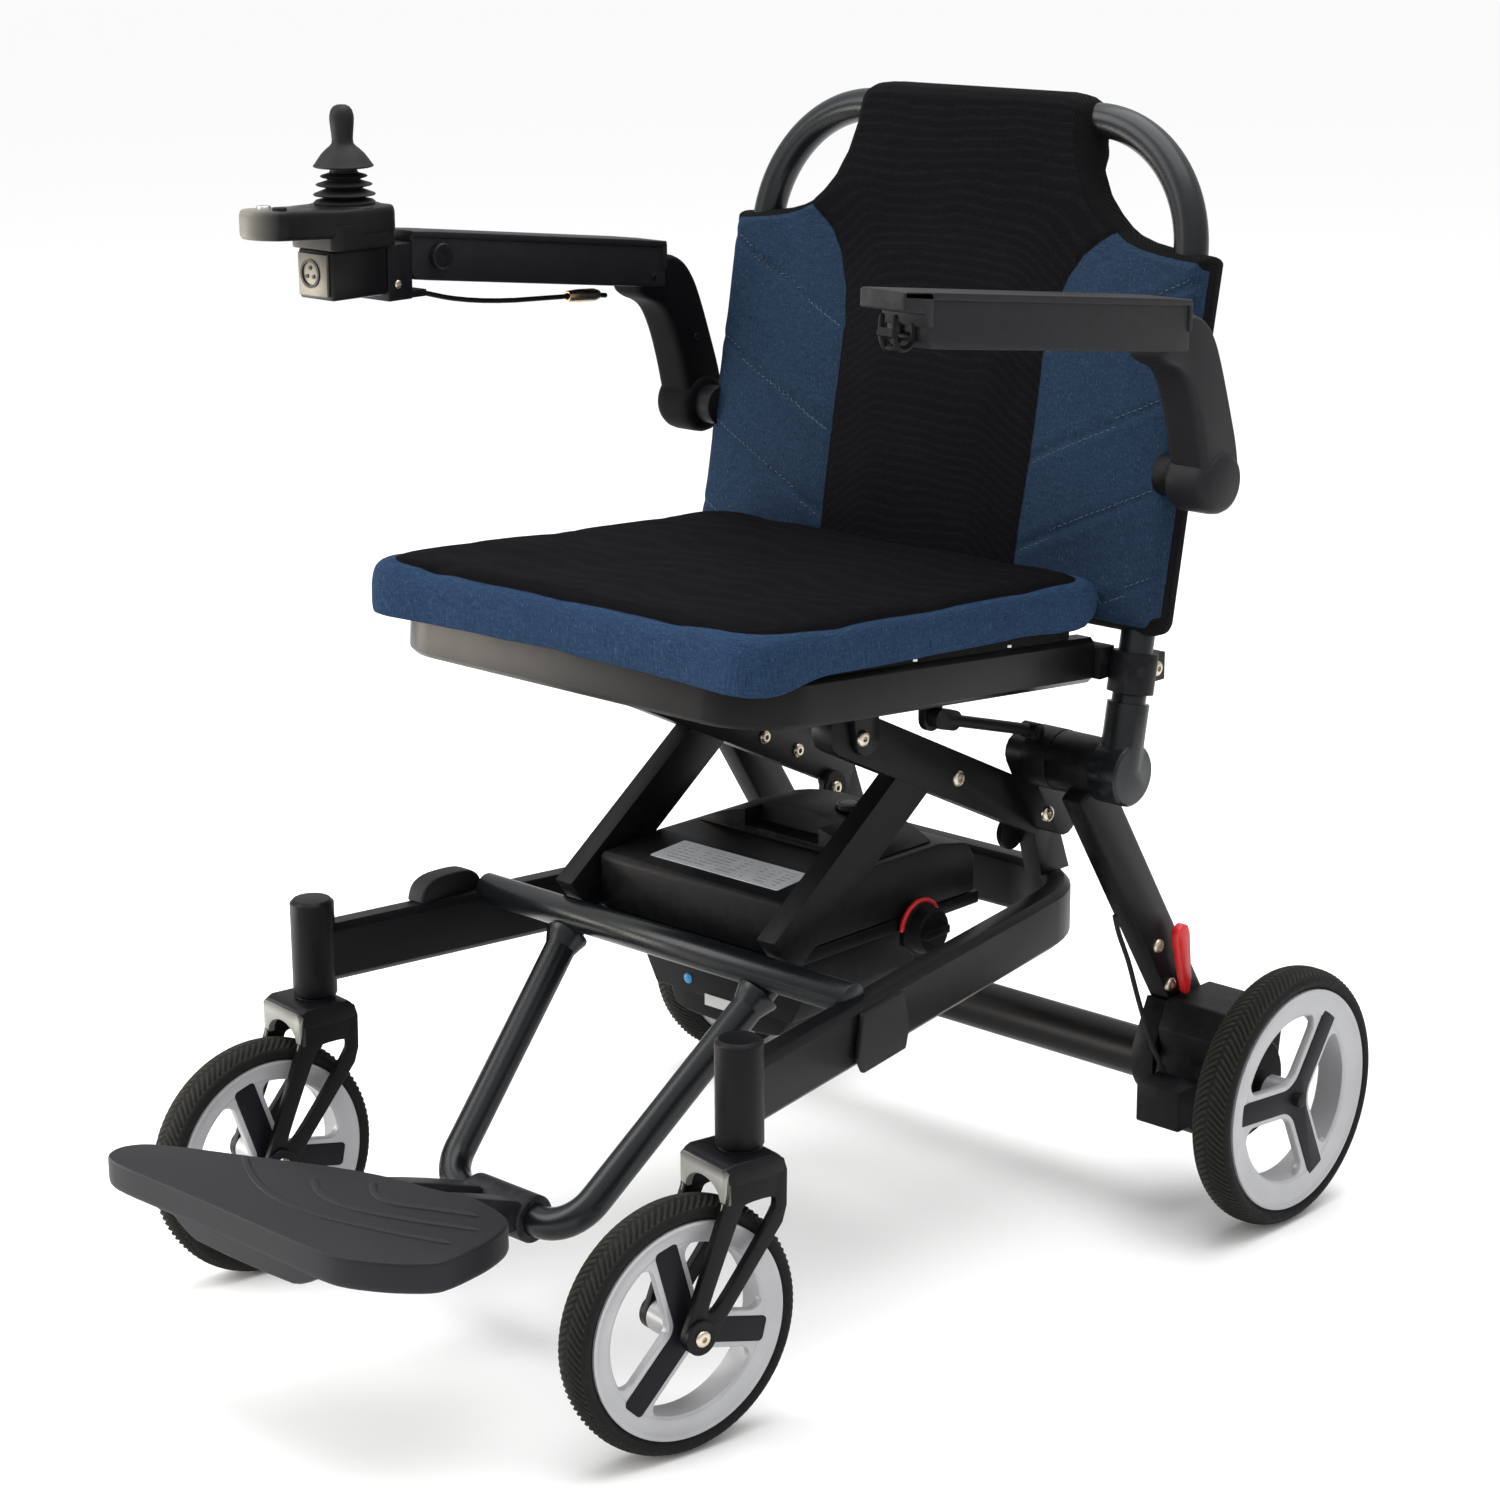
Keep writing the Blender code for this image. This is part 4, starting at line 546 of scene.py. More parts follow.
def stitch_run(bm, surface, start, end, length=0.0040, gap=0.0016, radius=0.00036, lift=0.0001):
    """Short threads laid along a straight line on a surface."""
    direction = (end - start).normalized()
    travelled = 0.0
    while travelled < (end - start).length:
        middle = start.lerp(end, travelled / (end - start).length)
        travelled += length + gap
        rings = []
        for step in (-0.5, -0.25, 0.0, 0.25, 0.5):
            spot, normal, _, _ = surface.find_nearest(middle + direction * (length * step))
            spot = spot + normal * (lift - radius * (1.6 * abs(step) - 0.3))
            side = direction.cross(normal).normalized()
            r = radius * (0.55 if abs(step) == 0.5 else 1.0)
            rings.append([bm.verts.new(spot + side * (r * math.cos(q)) + normal * (r * math.sin(q)))
                          for q in around(6)])
        skin(bm, rings)


def make_back_stitching(cloth):
    flat = bmesh.new()
    flat.from_mesh(cloth.data)
    surface = bvhtree.BVHTree.FromBMesh(flat)
    flat.free()
    bm = bmesh.new()
    end_x = max(STITCH_X - STITCH_RUN, 0.107)
    for sign in (1, -1):
        for height in STITCH_HEIGHTS:
            stitch_run(bm, surface, on_back(sign * (STITCH_X + 0.006), 0.03, height + STITCH_DROP * 0.045),
                       on_back(sign * end_x, 0.03, height - STITCH_DROP * (STITCH_X - end_x) / STITCH_RUN))
    bmesh.ops.recalc_face_normals(bm, faces=bm.faces)
    return link("back_stitching", bm, MAT["thread"], 60.0)


back_cloth = make_back()
back_thread = make_back_stitching(back_cloth)
# cloth on the back: its placing is baked into the meshes, and it rides no body
for obj in (back_cloth, back_thread):
    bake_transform(obj)
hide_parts("back_panel_lower", "back_panel_upper")

# ---------------------------------------------------------------- seat cushion
SEAT_SLOPE = math.radians(5.0)
SEAT_FRONT_Y, SEAT_FRONT_Z = -0.232, 0.4960
SEAT_RAIL_H = 0.036
CUSHION_HALF_X, CUSHION_HALF_Y, CUSHION_MID_Y, CUSHION_THICK = 0.2125, 0.2020, -0.0465, 0.0475
CUSHION_CORNER, SEAM_CORNER = 0.030, 0.044
CUSHION_SINK = 0.0125
CUSHION_BASE = SEAT_RAIL_H + 0.0008
VOXEL, START_SHRINK = 0.005, 0.006
CLOTH_PRESSURE, CLOTH_CAP, CLOTH_FRAMES = 4.0, 0.011, 20


def on_seat(x, y, height):
    """A point on the sloped seat: height is above the seat frame's lower face."""
    dy = y - SEAT_FRONT_Y
    return world(x, SEAT_FRONT_Y + dy * math.cos(SEAT_SLOPE) + height * math.sin(SEAT_SLOPE),
                 SEAT_FRONT_Z - dy * math.sin(SEAT_SLOPE) + height * math.cos(SEAT_SLOPE))


def from_outline(x, y, radius):
    """Distance in from the cushion's outline, a rectangle rounded by the radius; positive inside."""
    qx = np.abs(x) - (CUSHION_HALF_X - radius)
    qy = np.abs(y) - (CUSHION_HALF_Y - radius)
    return radius - np.hypot(np.maximum(qx, 0), np.maximum(qy, 0)) - np.minimum(np.maximum(qx, qy), 0)


def sling_height(along):
    """Top of the seat's base cloth above the cushion's own base: 0 at the front edge, 1 at the rear."""
    return 0.0020 + 0.0080 * along


def points_of(mesh):
    return np.array([v.co for v in mesh.vertices])


def evaluated(obj):
    return obj.evaluated_get(bpy.context.evaluated_depsgraph_get())


def with_modifier(obj, name, kind, **settings):
    """The object's mesh with one modifier applied."""
    modifier = obj.modifiers.new(name, kind)
    for key, value in settings.items():
        setattr(modifier, key, value)
    mesh = bpy.data.meshes.new_from_object(evaluated(obj))
    obj.modifiers.clear()
    return mesh


def eased(verts, bm, times):
    for _ in range(times):
        bmesh.ops.smooth_vert(bm, verts=verts, factor=0.5, use_axis_x=True, use_axis_y=True, use_axis_z=True)


def cushion_start():
    """The cushion before it is filled: a slightly small rounded box."""
    half_x, half_y = CUSHION_HALF_X - START_SHRINK, CUSHION_HALF_Y - START_SHRINK
    outline = rounded_rectangle(-half_x, half_x, -half_y, half_y, CUSHION_CORNER, 8)
    bm = bmesh.new()
    skin(bm, [
        [bm.verts.new((a * (half_x - inset) / half_x, b * (half_y - inset) / half_y, level)) for a, b in outline]
        for inset, level in ((0.0085, 0.0015), (0.0035, 0.007), (0.0, 0.014), (0.0, CUSHION_THICK - 0.016),
                             (0.0035, CUSHION_THICK - 0.008), (0.010, CUSHION_THICK - 0.004))])
    bmesh.ops.recalc_face_normals(bm, faces=bm.faces)
    mesh = bpy.data.meshes.new("seat_cushion_cover")
    bm.to_mesh(mesh)
    bm.free()
    obj = bpy.data.objects.new("seat_cushion_cover", mesh)
    bpy.context.scene.collection.objects.link(obj)
    obj.data = with_modifier(obj, "remesh", "REMESH", mode="VOXEL", voxel_size=VOXEL)
    return obj


def inflated(obj):
    """The object's points after a short cloth run under pressure, no point moved further than the cap."""
    start = points_of(obj.data)
    cloth = obj.modifiers.new("cloth", "CLOTH")
    cloth.settings.use_pressure = True
    cloth.settings.uniform_pressure_force = CLOTH_PRESSURE
    cloth.settings.effector_weights.gravity = 0.0
    cloth.settings.tension_stiffness = cloth.settings.compression_stiffness = 18
    cloth.settings.bending_stiffness = 0.6
    cloth.settings.quality = 5
    scene = bpy.context.scene
    scene.frame_start, scene.frame_end = 1, CLOTH_FRAMES
    for frame_number in range(1, CLOTH_FRAMES + 1):
        scene.frame_set(frame_number)
    move = points_of(evaluated(obj).data) - start
    obj.modifiers.clear()
    scene.frame_set(1)
    length = np.linalg.norm(move, axis=1)
    return start + move * np.where(length > CLOTH_CAP, CLOTH_CAP / np.maximum(length, 1e-9), 1.0)[:, None]


def fitted(points):
    """The filled cushion brought to size, its sides drawn in a little between the corners, with small ripples."""
    x, y, z = points.T
    x = x * CUSHION_HALF_X / np.abs(x).max()
    y = (y - (y.max() + y.min()) / 2) * CUSHION_HALF_Y * 2 / (y.max() - y.min())
    rise = (z - z.min()) / (z.max() - z.min())
    z = np.maximum((1 - (1 - rise) ** 1.45) * (CUSHION_THICK + 0.003), 0.0012)
    near = 1 - smooth_step(from_outline(x, y, CUSHION_CORNER), 0.0, 0.03)
    pull_x = 0.0022 * np.cos(np.clip(y / CUSHION_HALF_Y, -1, 1) * math.pi / 2) ** 2
    pull_y = 0.0022 * np.cos(np.clip(x / CUSHION_HALF_X, -1, 1) * math.pi / 2) ** 2
    x = np.clip(x - np.sign(x) * pull_x * near, -CUSHION_HALF_X - 0.001, CUSHION_HALF_X + 0.001)
    y = np.clip(y - np.sign(y) * pull_y * near, -CUSHION_HALF_Y - 0.001, CUSHION_HALF_Y + 0.0005)
    crown, ease = CUSHION_THICK + 0.0005, 0.004
    z = np.where(z > crown, crown + ease * np.tanh((z - crown) / ease), z)
    for i in range(len(x)):
        ripple = noise.noise(Vector((x[i] * 16.0, y[i] * 16.0, z[i] * 10.0 + 1.0)))
        small = noise.noise(Vector((x[i] * 48.0, y[i] * 48.0, z[i] * 60.0 + 5.0)))
        if z[i] > 0.006:
            z[i] += 0.0011 * ripple + 0.0004 * small
            if z[i] < 0.040:
                push = 0.0008 * ripple + 0.0007 * small
                x[i] += push * (1 if x[i] > 0 else -1)
                y[i] += push * (1 if y[i] > 0 else -1)
    return np.stack([x, y, z], axis=1)


def make_cushion():
    obj = cushion_start()
    points = inflated(obj)
    obj.data.vertices.foreach_set("co", fitted(points).ravel())
    bm = bmesh.new()
    bm.from_mesh(obj.data)
    eased(bm.verts, bm, 2)
    bm.to_mesh(obj.data)
    bm.free()
    finer = with_modifier(obj, "finer", "SUBSURF", levels=1, render_levels=1)
    points = points_of(finer)
    normals = np.array([v.normal for v in finer.vertices])
    x, y, z = points.T
    inside = from_outline(x, y, CUSHION_CORNER)
    # the cover's seam runs round the shoulder between the mesh top and the navy band
    shoulder = np.where(z > CUSHION_THICK * 0.5, from_outline(x, y, SEAM_CORNER) - 0.0125, -0.02)
    low_seam = z - 0.0045
    groove = 0.0013 * bell(shoulder, 0.0022) + 0.0009 * bell(low_seam, 0.0018) * (inside < 0.02)
    points = points - normals * groove[:, None]
    navy = np.where(normals[:, 2] < -0.6, -0.01, np.minimum(-shoulder, low_seam))
    for label, values in (("navy", navy), ("tape", np.full(len(x), -0.01)), ("along", x + y)):
        layer = finer.attributes.new(label, "FLOAT", "POINT")
        layer.data.foreach_set("value", values.astype(np.float32))
    for poly in finer.polygons:
        poly.use_smooth = True
    # the front of the cushion hangs a little over the rails, its middle rests on the sling
    along = (points[:, 1] + CUSHION_HALF_Y) / (2 * CUSHION_HALF_Y)
    hang = 0.0370 * (1 - 0.92 * along) * (1 - smooth_step(points[:, 2], 0.0, CUSHION_THICK))
    settled = points[:, 2] - CUSHION_SINK * (1 - along) - hang
    lowest, soft = -0.0080 + 0.0105 * smooth_step(along, 0.03, 0.22), 0.0012
    settled = lowest + soft * np.logaddexp(0, (settled - lowest) / soft)
    lip = smooth_step(inside, 0.0085, 0.0125)
    points[:, 2] = settled * (1 - lip) + np.maximum(settled, sling_height(along) + 0.0003) * lip
    # the hanging edge is eased, so the voxel steps do not show along it
    finer.vertices.foreach_set("co", points.ravel())
    bm = bmesh.new()
    bm.from_mesh(finer)
    bm.verts.ensure_lookup_table()
    eased([bm.verts[int(i)] for i in np.flatnonzero((inside < 0.020) & (points[:, 2] < 0.010))], bm, 8)
    placed = [on_seat(v.co.x, v.co.y + CUSHION_MID_Y, v.co.z + CUSHION_BASE) for v in bm.verts]
    bm.free()
    finer.vertices.foreach_set("co", np.array(placed).ravel())
    finer.materials.clear()
    finer.materials.append(MAT["seat_cloth"])
    obj.data = finer
    finer.update()
    return obj


cushion = make_cushion()
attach(cushion, "chair_frame")
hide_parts("seat_cushion")

# ---------------------------------------------------------------- wheels
THIRD = 2 * math.pi / 3


def wheel_point(x, radius, angle):
    return Vector((x, -radius * math.cos(angle), radius * math.sin(angle)))


def turned_loop(bm, loop, segments, matrix):
    """A closed loop of (x, radius) points turned about the axle."""
    skin(bm, [[bm.verts.new(matrix @ wheel_point(x, r, a)) for x, r in loop] for a in around(segments)], True)


def turned_solid(bm, profile, segments, matrix):
    """An open (x, radius) profile turned about the axle, closed at each end."""
    skin(bm, [[bm.verts.new(matrix @ wheel_point(x, r, a)) for a in around(segments)] for x, r in profile])


def rotated(points, angle):
    c, s = math.cos(angle), math.sin(angle)
    return [(x * c - y * s, x * s + y * c) for x, y in points]


def window_outline(outer, half, round_in, round_out, turn):
    """Rounded triangle between two spokes, its middle at the angle turn."""
    sixth, third = math.radians(30), math.radians(60)
    inner = ((half + round_in) / math.cos(sixth), 0.0)
    reach = half + round_out
    along = math.sqrt((outer - round_out) ** 2 - reach ** 2)
    px = math.cos(sixth) * reach + math.cos(third) * along
    py = math.sin(sixth) * reach - math.sin(third) * along
    swing = math.degrees(math.atan2(py, px))
    return rotated(arc_points(inner, round_in, 150, 210, 8) + arc_points((px, py), round_out, -150, swing, 7)
                   + arc_points((0, 0), outer, swing, -swing, 16)[1:-1]
                   + arc_points((px, -py), round_out, -swing, 150, 7), turn)


def star_outline(half, round_in, tip, phase):
    """Three arms joined by hollow fillets, with softly squared tips."""
    points = []
    r = 0.0035
    reach = (half + round_in) / math.cos(math.radians(30))
    for arm in range(3):
        turn = phase + arm * THIRD
        points += rotated(arc_points((tip - r, -half + r), r, -90, 0, 4) + arc_points((tip - r, half - r), r, 0, 90, 4),
                          turn)
        points += rotated(arc_points((reach, 0), round_in, 210, 150, 10), turn + THIRD / 2)
    return points


def pierced_plate(bm, loops, x0, x1, matrix, edge, angle):
    """A plate from x0 to x1 inside the first loop, with the other loops cut out and its edges rounded."""
    edges = []
    for loop in loops:
        ring = [bm.verts.new((x1, a, b)) for a, b in loop]
        edges += [bm.edges.new(pair) for pair in zip(ring, ring[1:] + ring[:1])]
    bmesh.ops.triangle_fill(bm, use_beauty=True, use_dissolve=False, edges=edges)
    bmesh.ops.dissolve_limit(bm, angle_limit=0.001, verts=bm.verts, edges=bm.edges)
    made = bmesh.ops.extrude_face_region(bm, geom=list(bm.faces))
    bmesh.ops.translate(bm, vec=(x0 - x1, 0, 0), verts=[v for v in made["geom"] if isinstance(v, bmesh.types.BMVert)])
    bmesh.ops.recalc_face_normals(bm, faces=bm.faces)
    soft_edges(bm, edge, 3, angle)
    bmesh.ops.transform(bm, matrix=matrix, verts=bm.verts)


def tyre(node, name, matrix, outer, seat, half_w, pitches):
    """Tyre with a herringbone tread over the crown and shoulders."""
    sections, steps = 44, 5 * pitches
    tread_end, lug, groove_depth, rib_depth = 1.08, 0.0058, 0.0015, 0.0013
    middle = seat + (outer - seat) * 0.42
    tall, loop = outer - middle, []
    for k in range(sections + 1):
        phi = math.radians(-122 + 244 * k / sections)
        loop.append((half_w * math.copysign(abs(math.sin(phi)) ** 0.92, phi), middle + tall * math.cos(phi), phi))
    bm = bmesh.new()
    land = bm.verts.layers.float.new("land")
    rings = []
    for k, a in enumerate(around(steps)):
        ring = []
        for x, r, phi in loop:
            across = phi * (half_w + tall) / 2
            cut = 0.0
            if abs(phi) < tread_end:
                wave = (k / steps * pitches + abs(across) * 0.95 / lug + (0.5 if across > 0 else 0.0)) % 1.0
                groove = min(1.0, max(0.0, 1 - abs(wave - 0.5) / 0.30) * 2.2)
                rib = min(1.0, max(0.0, 1 - abs(across) / 0.0011) * 1.8)
                cut = max(groove_depth * groove * min(1.0, (tread_end - abs(phi)) / 0.10), rib_depth * rib)
            ring.append(bm.verts.new(matrix @ wheel_point(x - math.sin(phi) * cut, r - math.cos(phi) * cut, a)))
            # land marks the raised tread, which takes the painted highlight
            ring[-1][land] = max(0.0, 1 - cut / 0.0009) if abs(phi) < 1.06 else 0.0
        ring += [bm.verts.new(matrix @ wheel_point(x, seat - 0.0012, a)) for x in (half_w * 0.80, -half_w * 0.80)]
        rings.append(ring)
    skin(bm, rings, True)
    shown(node, bm, "tyre", 50.0, name)


def build_wheel(kind, side, matrix, phase, face, outer, seat, half_w, window, half, web, round_in, round_out, border,
                tip, hub, spacer, pitches):
    """Rim, spoke inlay and tyre; face is the side of the wheel that its spoke plate is on."""
    phase = math.radians(phase)
    # flange ring, dished towards the spokes
    lip = half_w - 0.0012
    right_side = [
        (half_w * 0.86, seat + 0.0004), (lip + 0.0004, seat + 0.0002), (lip + 0.0008, seat - 0.0008),
        (lip + 0.0006, seat - 0.0022), (lip - 0.0002, seat - 0.0036), (lip - 0.0010, seat - 0.0060),
        (lip - 0.0022, window + 0.0052), (web + 0.0006, window + 0.0022), (web + 0.0002, window + 0.0004),
        (web - 0.0014, window - 0.0012), (web - 0.0060, window - 0.0006),
    ]
    bm = bmesh.new()
    turned_loop(bm, right_side + [(-x, r) for x, r in reversed(right_side)], 144, matrix)
    loops = [[((window + 0.0030) * math.cos(a), (window + 0.0030) * math.sin(a)) for a in around(96)]]
    loops += [window_outline(window, half, round_in, round_out, phase + THIRD / 2 + k * THIRD) for k in range(3)]
    loops += [[(0.0060 * math.cos(a), 0.0060 * math.sin(a)) for a in around(24)]]
    add_part(bm, pierced_plate, [[(-a, b) for a, b in loop] for loop in loops], -0.0036, 0.0036,
             matrix @ Matrix.Translation((face * (web - 0.0036), 0, 0)), 0.0013, 60.0)
    turned_solid(bm, sorted([(-face * spacer, hub), (face * (web - 0.0010), hub)]), 64, matrix)
    shown(f"{kind}_rim_{side}", bm, "rim", 42.0, f"{kind}_{side}_rim_shown")
    # the black inlay goes through the spoke plate and stands proud of it
    bm = bmesh.new()
    outline = star_outline(half - border, round_in + border, tip, phase)
    low, high = ([bm.verts.new(matrix @ Vector((x, -a, b))) for a, b in outline]
                 for x in (face * (web - 0.0081), face * (web + 0.0009)))
    bm.faces.new(low[::-1])
    bm.faces.new(high)
    for a, b, c, d in zip(low, low[1:] + low[:1], high[1:] + high[:1], high):
        bm.faces.new((a, b, c, d))
    bmesh.ops.recalc_face_normals(bm, faces=bm.faces)
    soft_edges(bm, 0.0006, 2, 60.0)
    shown(f"{kind}_spoke_inlay_{side}", bm, "inlay", 40.0, f"{kind}_{side}_inlay_shown")
    tyre(f"{kind}_tyre_{side}", f"{kind}_{side}_tyre_shown", matrix, outer, seat, half_w, pitches)


CASTER_X, CASTER_Y, CASTER_TRAIL, CASTER_AXLE_Z = 0.2317, -0.2843, 0.055, 0.0953
CASTER_YAW = {"left": math.radians(-10.3), "right": math.radians(-7.1)}
CASTER = {
    side: Matrix.Translation(world(sign * CASTER_X + math.sin(CASTER_YAW[side]) * CASTER_TRAIL,
                                   CASTER_Y - math.cos(CASTER_YAW[side]) * CASTER_TRAIL, CASTER_AXLE_Z))
    @ Matrix.Rotation(CASTER_YAW[side], 4, "Z")
    for side, sign in SIDES
}
for side, sign in SIDES:
    build_wheel("caster", side, CASTER[side], {"left": 74.7, "right": 71.5}[side], 1, 0.0953, 0.0808, 0.0160,
                window=0.0655, half=0.0138, web=0.0118, round_in=0.009, round_out=0.0085, border=0.0043, tip=0.0690,
                hub=0.0130, spacer=0.0203, pitches=104)
    build_wheel("drive", side, Matrix.Translation(world(sign * 0.302, 0.2843, 0.1076)), 5.35, sign, 0.1076, 0.0918,
                0.01725, window=0.0705, half=0.0138, web=0.0130, round_in=0.020, round_out=0.0100, border=0.0043,
                tip=0.0812, hub=0.0140, spacer=0.0125, pitches=116)


# ---------------------------------------------------------------- shapes with rounded edges
def inset_outline(points, amount):
    """A counter-clockwise outline moved inwards along its corner normals."""
    out = []
    for k, (bx, by) in enumerate(points):
        (ax, ay), (cx, cy) = points[k - 1], points[(k + 1) % len(points)]
        e1, e2 = Vector((bx - ax, by - ay)).normalized(), Vector((cx - bx, cy - by)).normalized()
        bisector = Vector((-e1.y - e2.y, e1.x + e2.x))
        scale = amount / max(0.35, bisector.length_squared / 2)
        out.append((bx + bisector.x * scale, by + bisector.y * scale))
    return out


def softened(points, rounds, keep):
    """An outline with its corners cut back, again and again."""
    for _ in range(rounds):
        fresh = []
        for (ax, ay), (bx, by) in zip(points, points[1:] + points[:1]):
            fresh.append((ax + (bx - ax) * keep, ay + (by - ay) * keep))
            fresh.append((bx + (ax - bx) * keep, by + (ay - by) * keep))
        points = fresh
    return points


def counter_clockwise(points):
    area = sum(a[0] * b[1] - b[0] * a[1] for a, b in zip(points, points[1:] + points[:1]))
    return points if area > 0 else points[::-1]


def slab(bm, outline, low, high, round_low, round_high, place, steps=4):
    """A plate with rounded upper and lower edges; place turns (a, b, height) into a point."""
    outline = counter_clockwise(outline)
    turns = [math.pi / 2 * k / steps for k in range(steps + 1)]
    levels = [(round_low * (1 - math.sin(q)), low + round_low * (1 - math.cos(q))) for q in turns]
    levels += [(round_high * (1 - math.sin(q)), high - round_high * (1 - math.cos(q))) for q in turns[::-1]]
    skin(bm, [[bm.verts.new(place(a, b, level)) for a, b in inset_outline(outline, inset / 2)]
              for inset, level in levels])
    bmesh.ops.remove_doubles(bm, verts=bm.verts, dist=1e-6)
    bmesh.ops.recalc_face_normals(bm, faces=bm.faces)


def along_x(sign):
    return lambda a, b, level: world(sign * level, a, b)


def along_z(a, b, level):
    return world(a, b, level)


def to_front(a, b, level):
    return world(a, -level, b)


def tube_along(bm, points, radius, count=16, flat=1.0, hint=Vector((0, 0, 1)), ends=0.6):
    """A rod along a line of points; flat squashes it along the hint."""
    rings = []
    last = len(points) - 1
    for k, here in enumerate(points):
        along = (points[min(k + 1, last)] - points[max(k - 1, 0)]).normalized()
        side = along.cross(hint).normalized()
        over = side.cross(along).normalized()
        r = radius * (ends if k in (0, last) else 1.0)
        rings.append([bm.verts.new(here + side * (r * math.cos(q)) + over * (r * flat * math.sin(q)))
                      for q in around(count)])
    skin(bm, rings)


def standing(place, direction):
    turn = Vector((0, 0, 1)).rotation_difference(Vector(direction).normalized()).to_matrix().to_4x4()
    return Matrix.Translation(place) @ turn


def turned_up(bm, profile, place, direction=(0, 0, 1), count=48):
    """A profile of (radius, height) in millimetres turned about a line; a zero radius closes an end."""
    matrix = standing(place, direction)
    rings = [[bm.verts.new(matrix @ Vector((r * math.cos(a), r * math.sin(a), h))) for a in around(count if r else 1)]
             for r, h in mm(*profile)]
    for one, two in zip(rings, rings[1:]):
        for k in range(count):
            m = (k + 1) % count
            if len(one) == 1:
                bm.faces.new((one[0], two[m], two[k]))
            elif len(two) == 1:
                bm.faces.new((one[k], one[m], two[0]))
            else:
                bm.faces.new((one[k], one[m], two[m], two[k]))
    if len(rings[0]) > 1:
        bm.faces.new(rings[0][::-1])
    bmesh.ops.recalc_face_normals(bm, faces=bm.faces)


def button_bolt(bm, place, direction, radius=0.0060, height=0.0032, socket=0.46, count=24):
    """Button-head bolt with a hexagon socket, its seat at the place given."""
    matrix = standing(place, direction)
    profile = [(radius * 0.98, -0.0012), (radius, 0.0), (radius, height * 0.25)]
    for k in range(1, 6):
        q = math.pi / 2 * k / 5
        profile.append((radius * (socket + (1 - socket) * math.cos(q)), height * (0.25 + 0.75 * math.sin(q))))
    rings = [[(r, a, h) for a in around(count)] for r, h in profile]
    across = radius * socket * 0.88 * math.cos(math.pi / 6)
    rings += [[(across / math.cos((a % (math.pi / 3)) - math.pi / 6), a, depth) for a in around(count)]
              for depth in (height * 0.97, height * 0.25)]
    skin(bm, [[bm.verts.new(matrix @ Vector((r * math.cos(a), r * math.sin(a), h))) for r, a, h in ring]
              for ring in rings])


def curved(points, per=6):
    """Points along a smooth line through the given ones."""
    out = []
    pts = [points[0]] + list(points) + [points[-1]]
    for p0, p1, p2, p3 in zip(pts, pts[1:], pts[2:], pts[3:]):
        for t in (i / per for i in range(per)):
            out.append(0.5 * ((2 * p1) + (p2 - p0) * t + (2 * p0 - 5 * p1 + 4 * p2 - p3) * t * t
                              + (3 * p1 - p0 - 3 * p2 + p3) * t ** 3))
    return out + [points[-1]]


def rounded_path(corners, radius, steps):
    """A line through the corners, with each inner corner turned through an arc, and long straight runs divided."""
    path = [corners[0]]
    for a, b, c in zip(corners, corners[1:], corners[2:]):
        u, v = (a - b).normalized(), (c - b).normalized()
        half = u.angle(v) / 2
        centre = b + (u + v).normalized() * (radius / math.sin(half))
        first, last = (b + w * (radius / math.tan(half)) - centre for w in (u, v))
        swing = first.angle(last)
        for t in (k / steps for k in range(steps + 1)):
            path.append(centre + (first * math.sin((1 - t) * swing) + last * math.sin(t * swing)) / math.sin(swing))
    path.append(corners[-1])
    out = [path[0]]
    for a, b in zip(path, path[1:]):
        parts = max(1, int((b - a).length / 0.012))
        out += [a.lerp(b, k / parts) for k in range(1, parts + 1)]
    return out


# ---------------------------------------------------------------- tubes
POST_X, POST_R, HOOP_TOP = 0.2211, 0.0135, 0.5011
HOOP_FOOT = (0.190 - HINGE_Y) * LEAN_SIN + (0.627 - HINGE_Z) * LEAN_COS + 0.0006
bm = bmesh.new()
path = rounded_path([on_back(x, 0, s) for x, s in ((POST_X, HOOP_FOOT), (POST_X, HOOP_TOP), (-POST_X, HOOP_TOP),
                                                   (-POST_X, HOOP_FOOT))], 0.105, 26)
tube_along(bm, path, POST_R, 40, 1.0, Vector((0, 1, 0)), 0.999)
shown("back_hoop", bm, "tube", 50.0)

CROSS_Y, CROSS_Z, CROSS_R, CROSS_X = -0.128, 0.275, 0.0126, 0.2000
bm = bmesh.new()
turned_solid(bm, [(-CROSS_X, CROSS_R - 0.001), (0.001 - CROSS_X, CROSS_R), (CROSS_X - 0.001, CROSS_R),
                  (CROSS_X, CROSS_R - 0.001)], 48, Matrix.Translation(world(0, CROSS_Y, CROSS_Z)))
shown("front_cross_tube", bm, "tube", 50.0)

FOOT_HINGE = (0, -0.298, 0.1060)
bm = bmesh.new()
bend = world(0.070, *FOOT_HINGE[1:])
head = world(0.105, -0.126, 0.260)
climb = (head - bend).normalized()
head = head + climb * ((world(0.105, CROSS_Y, CROSS_Z) - head).dot(climb) - 0.004)
flip = Matrix.Diagonal((-1, 1, 1))
tube_along(bm, rounded_path([head, bend, flip @ bend, flip @ head], 0.036, 16), 0.0125, 36, 1.0,
           Vector((0, 0.74, 0.67)), 0.999)
for end, direction in ((head, climb), (flip @ head, flip @ climb)):
    turned_up(bm, [(12.5, -4), (14, 0), (15.6, 4.5), (17.2, 8), (17.2, 10), (0, 10)], end - direction * 0.0185,
              direction, 36)
shown("footrest_tube", bm, "tube", 50.0)

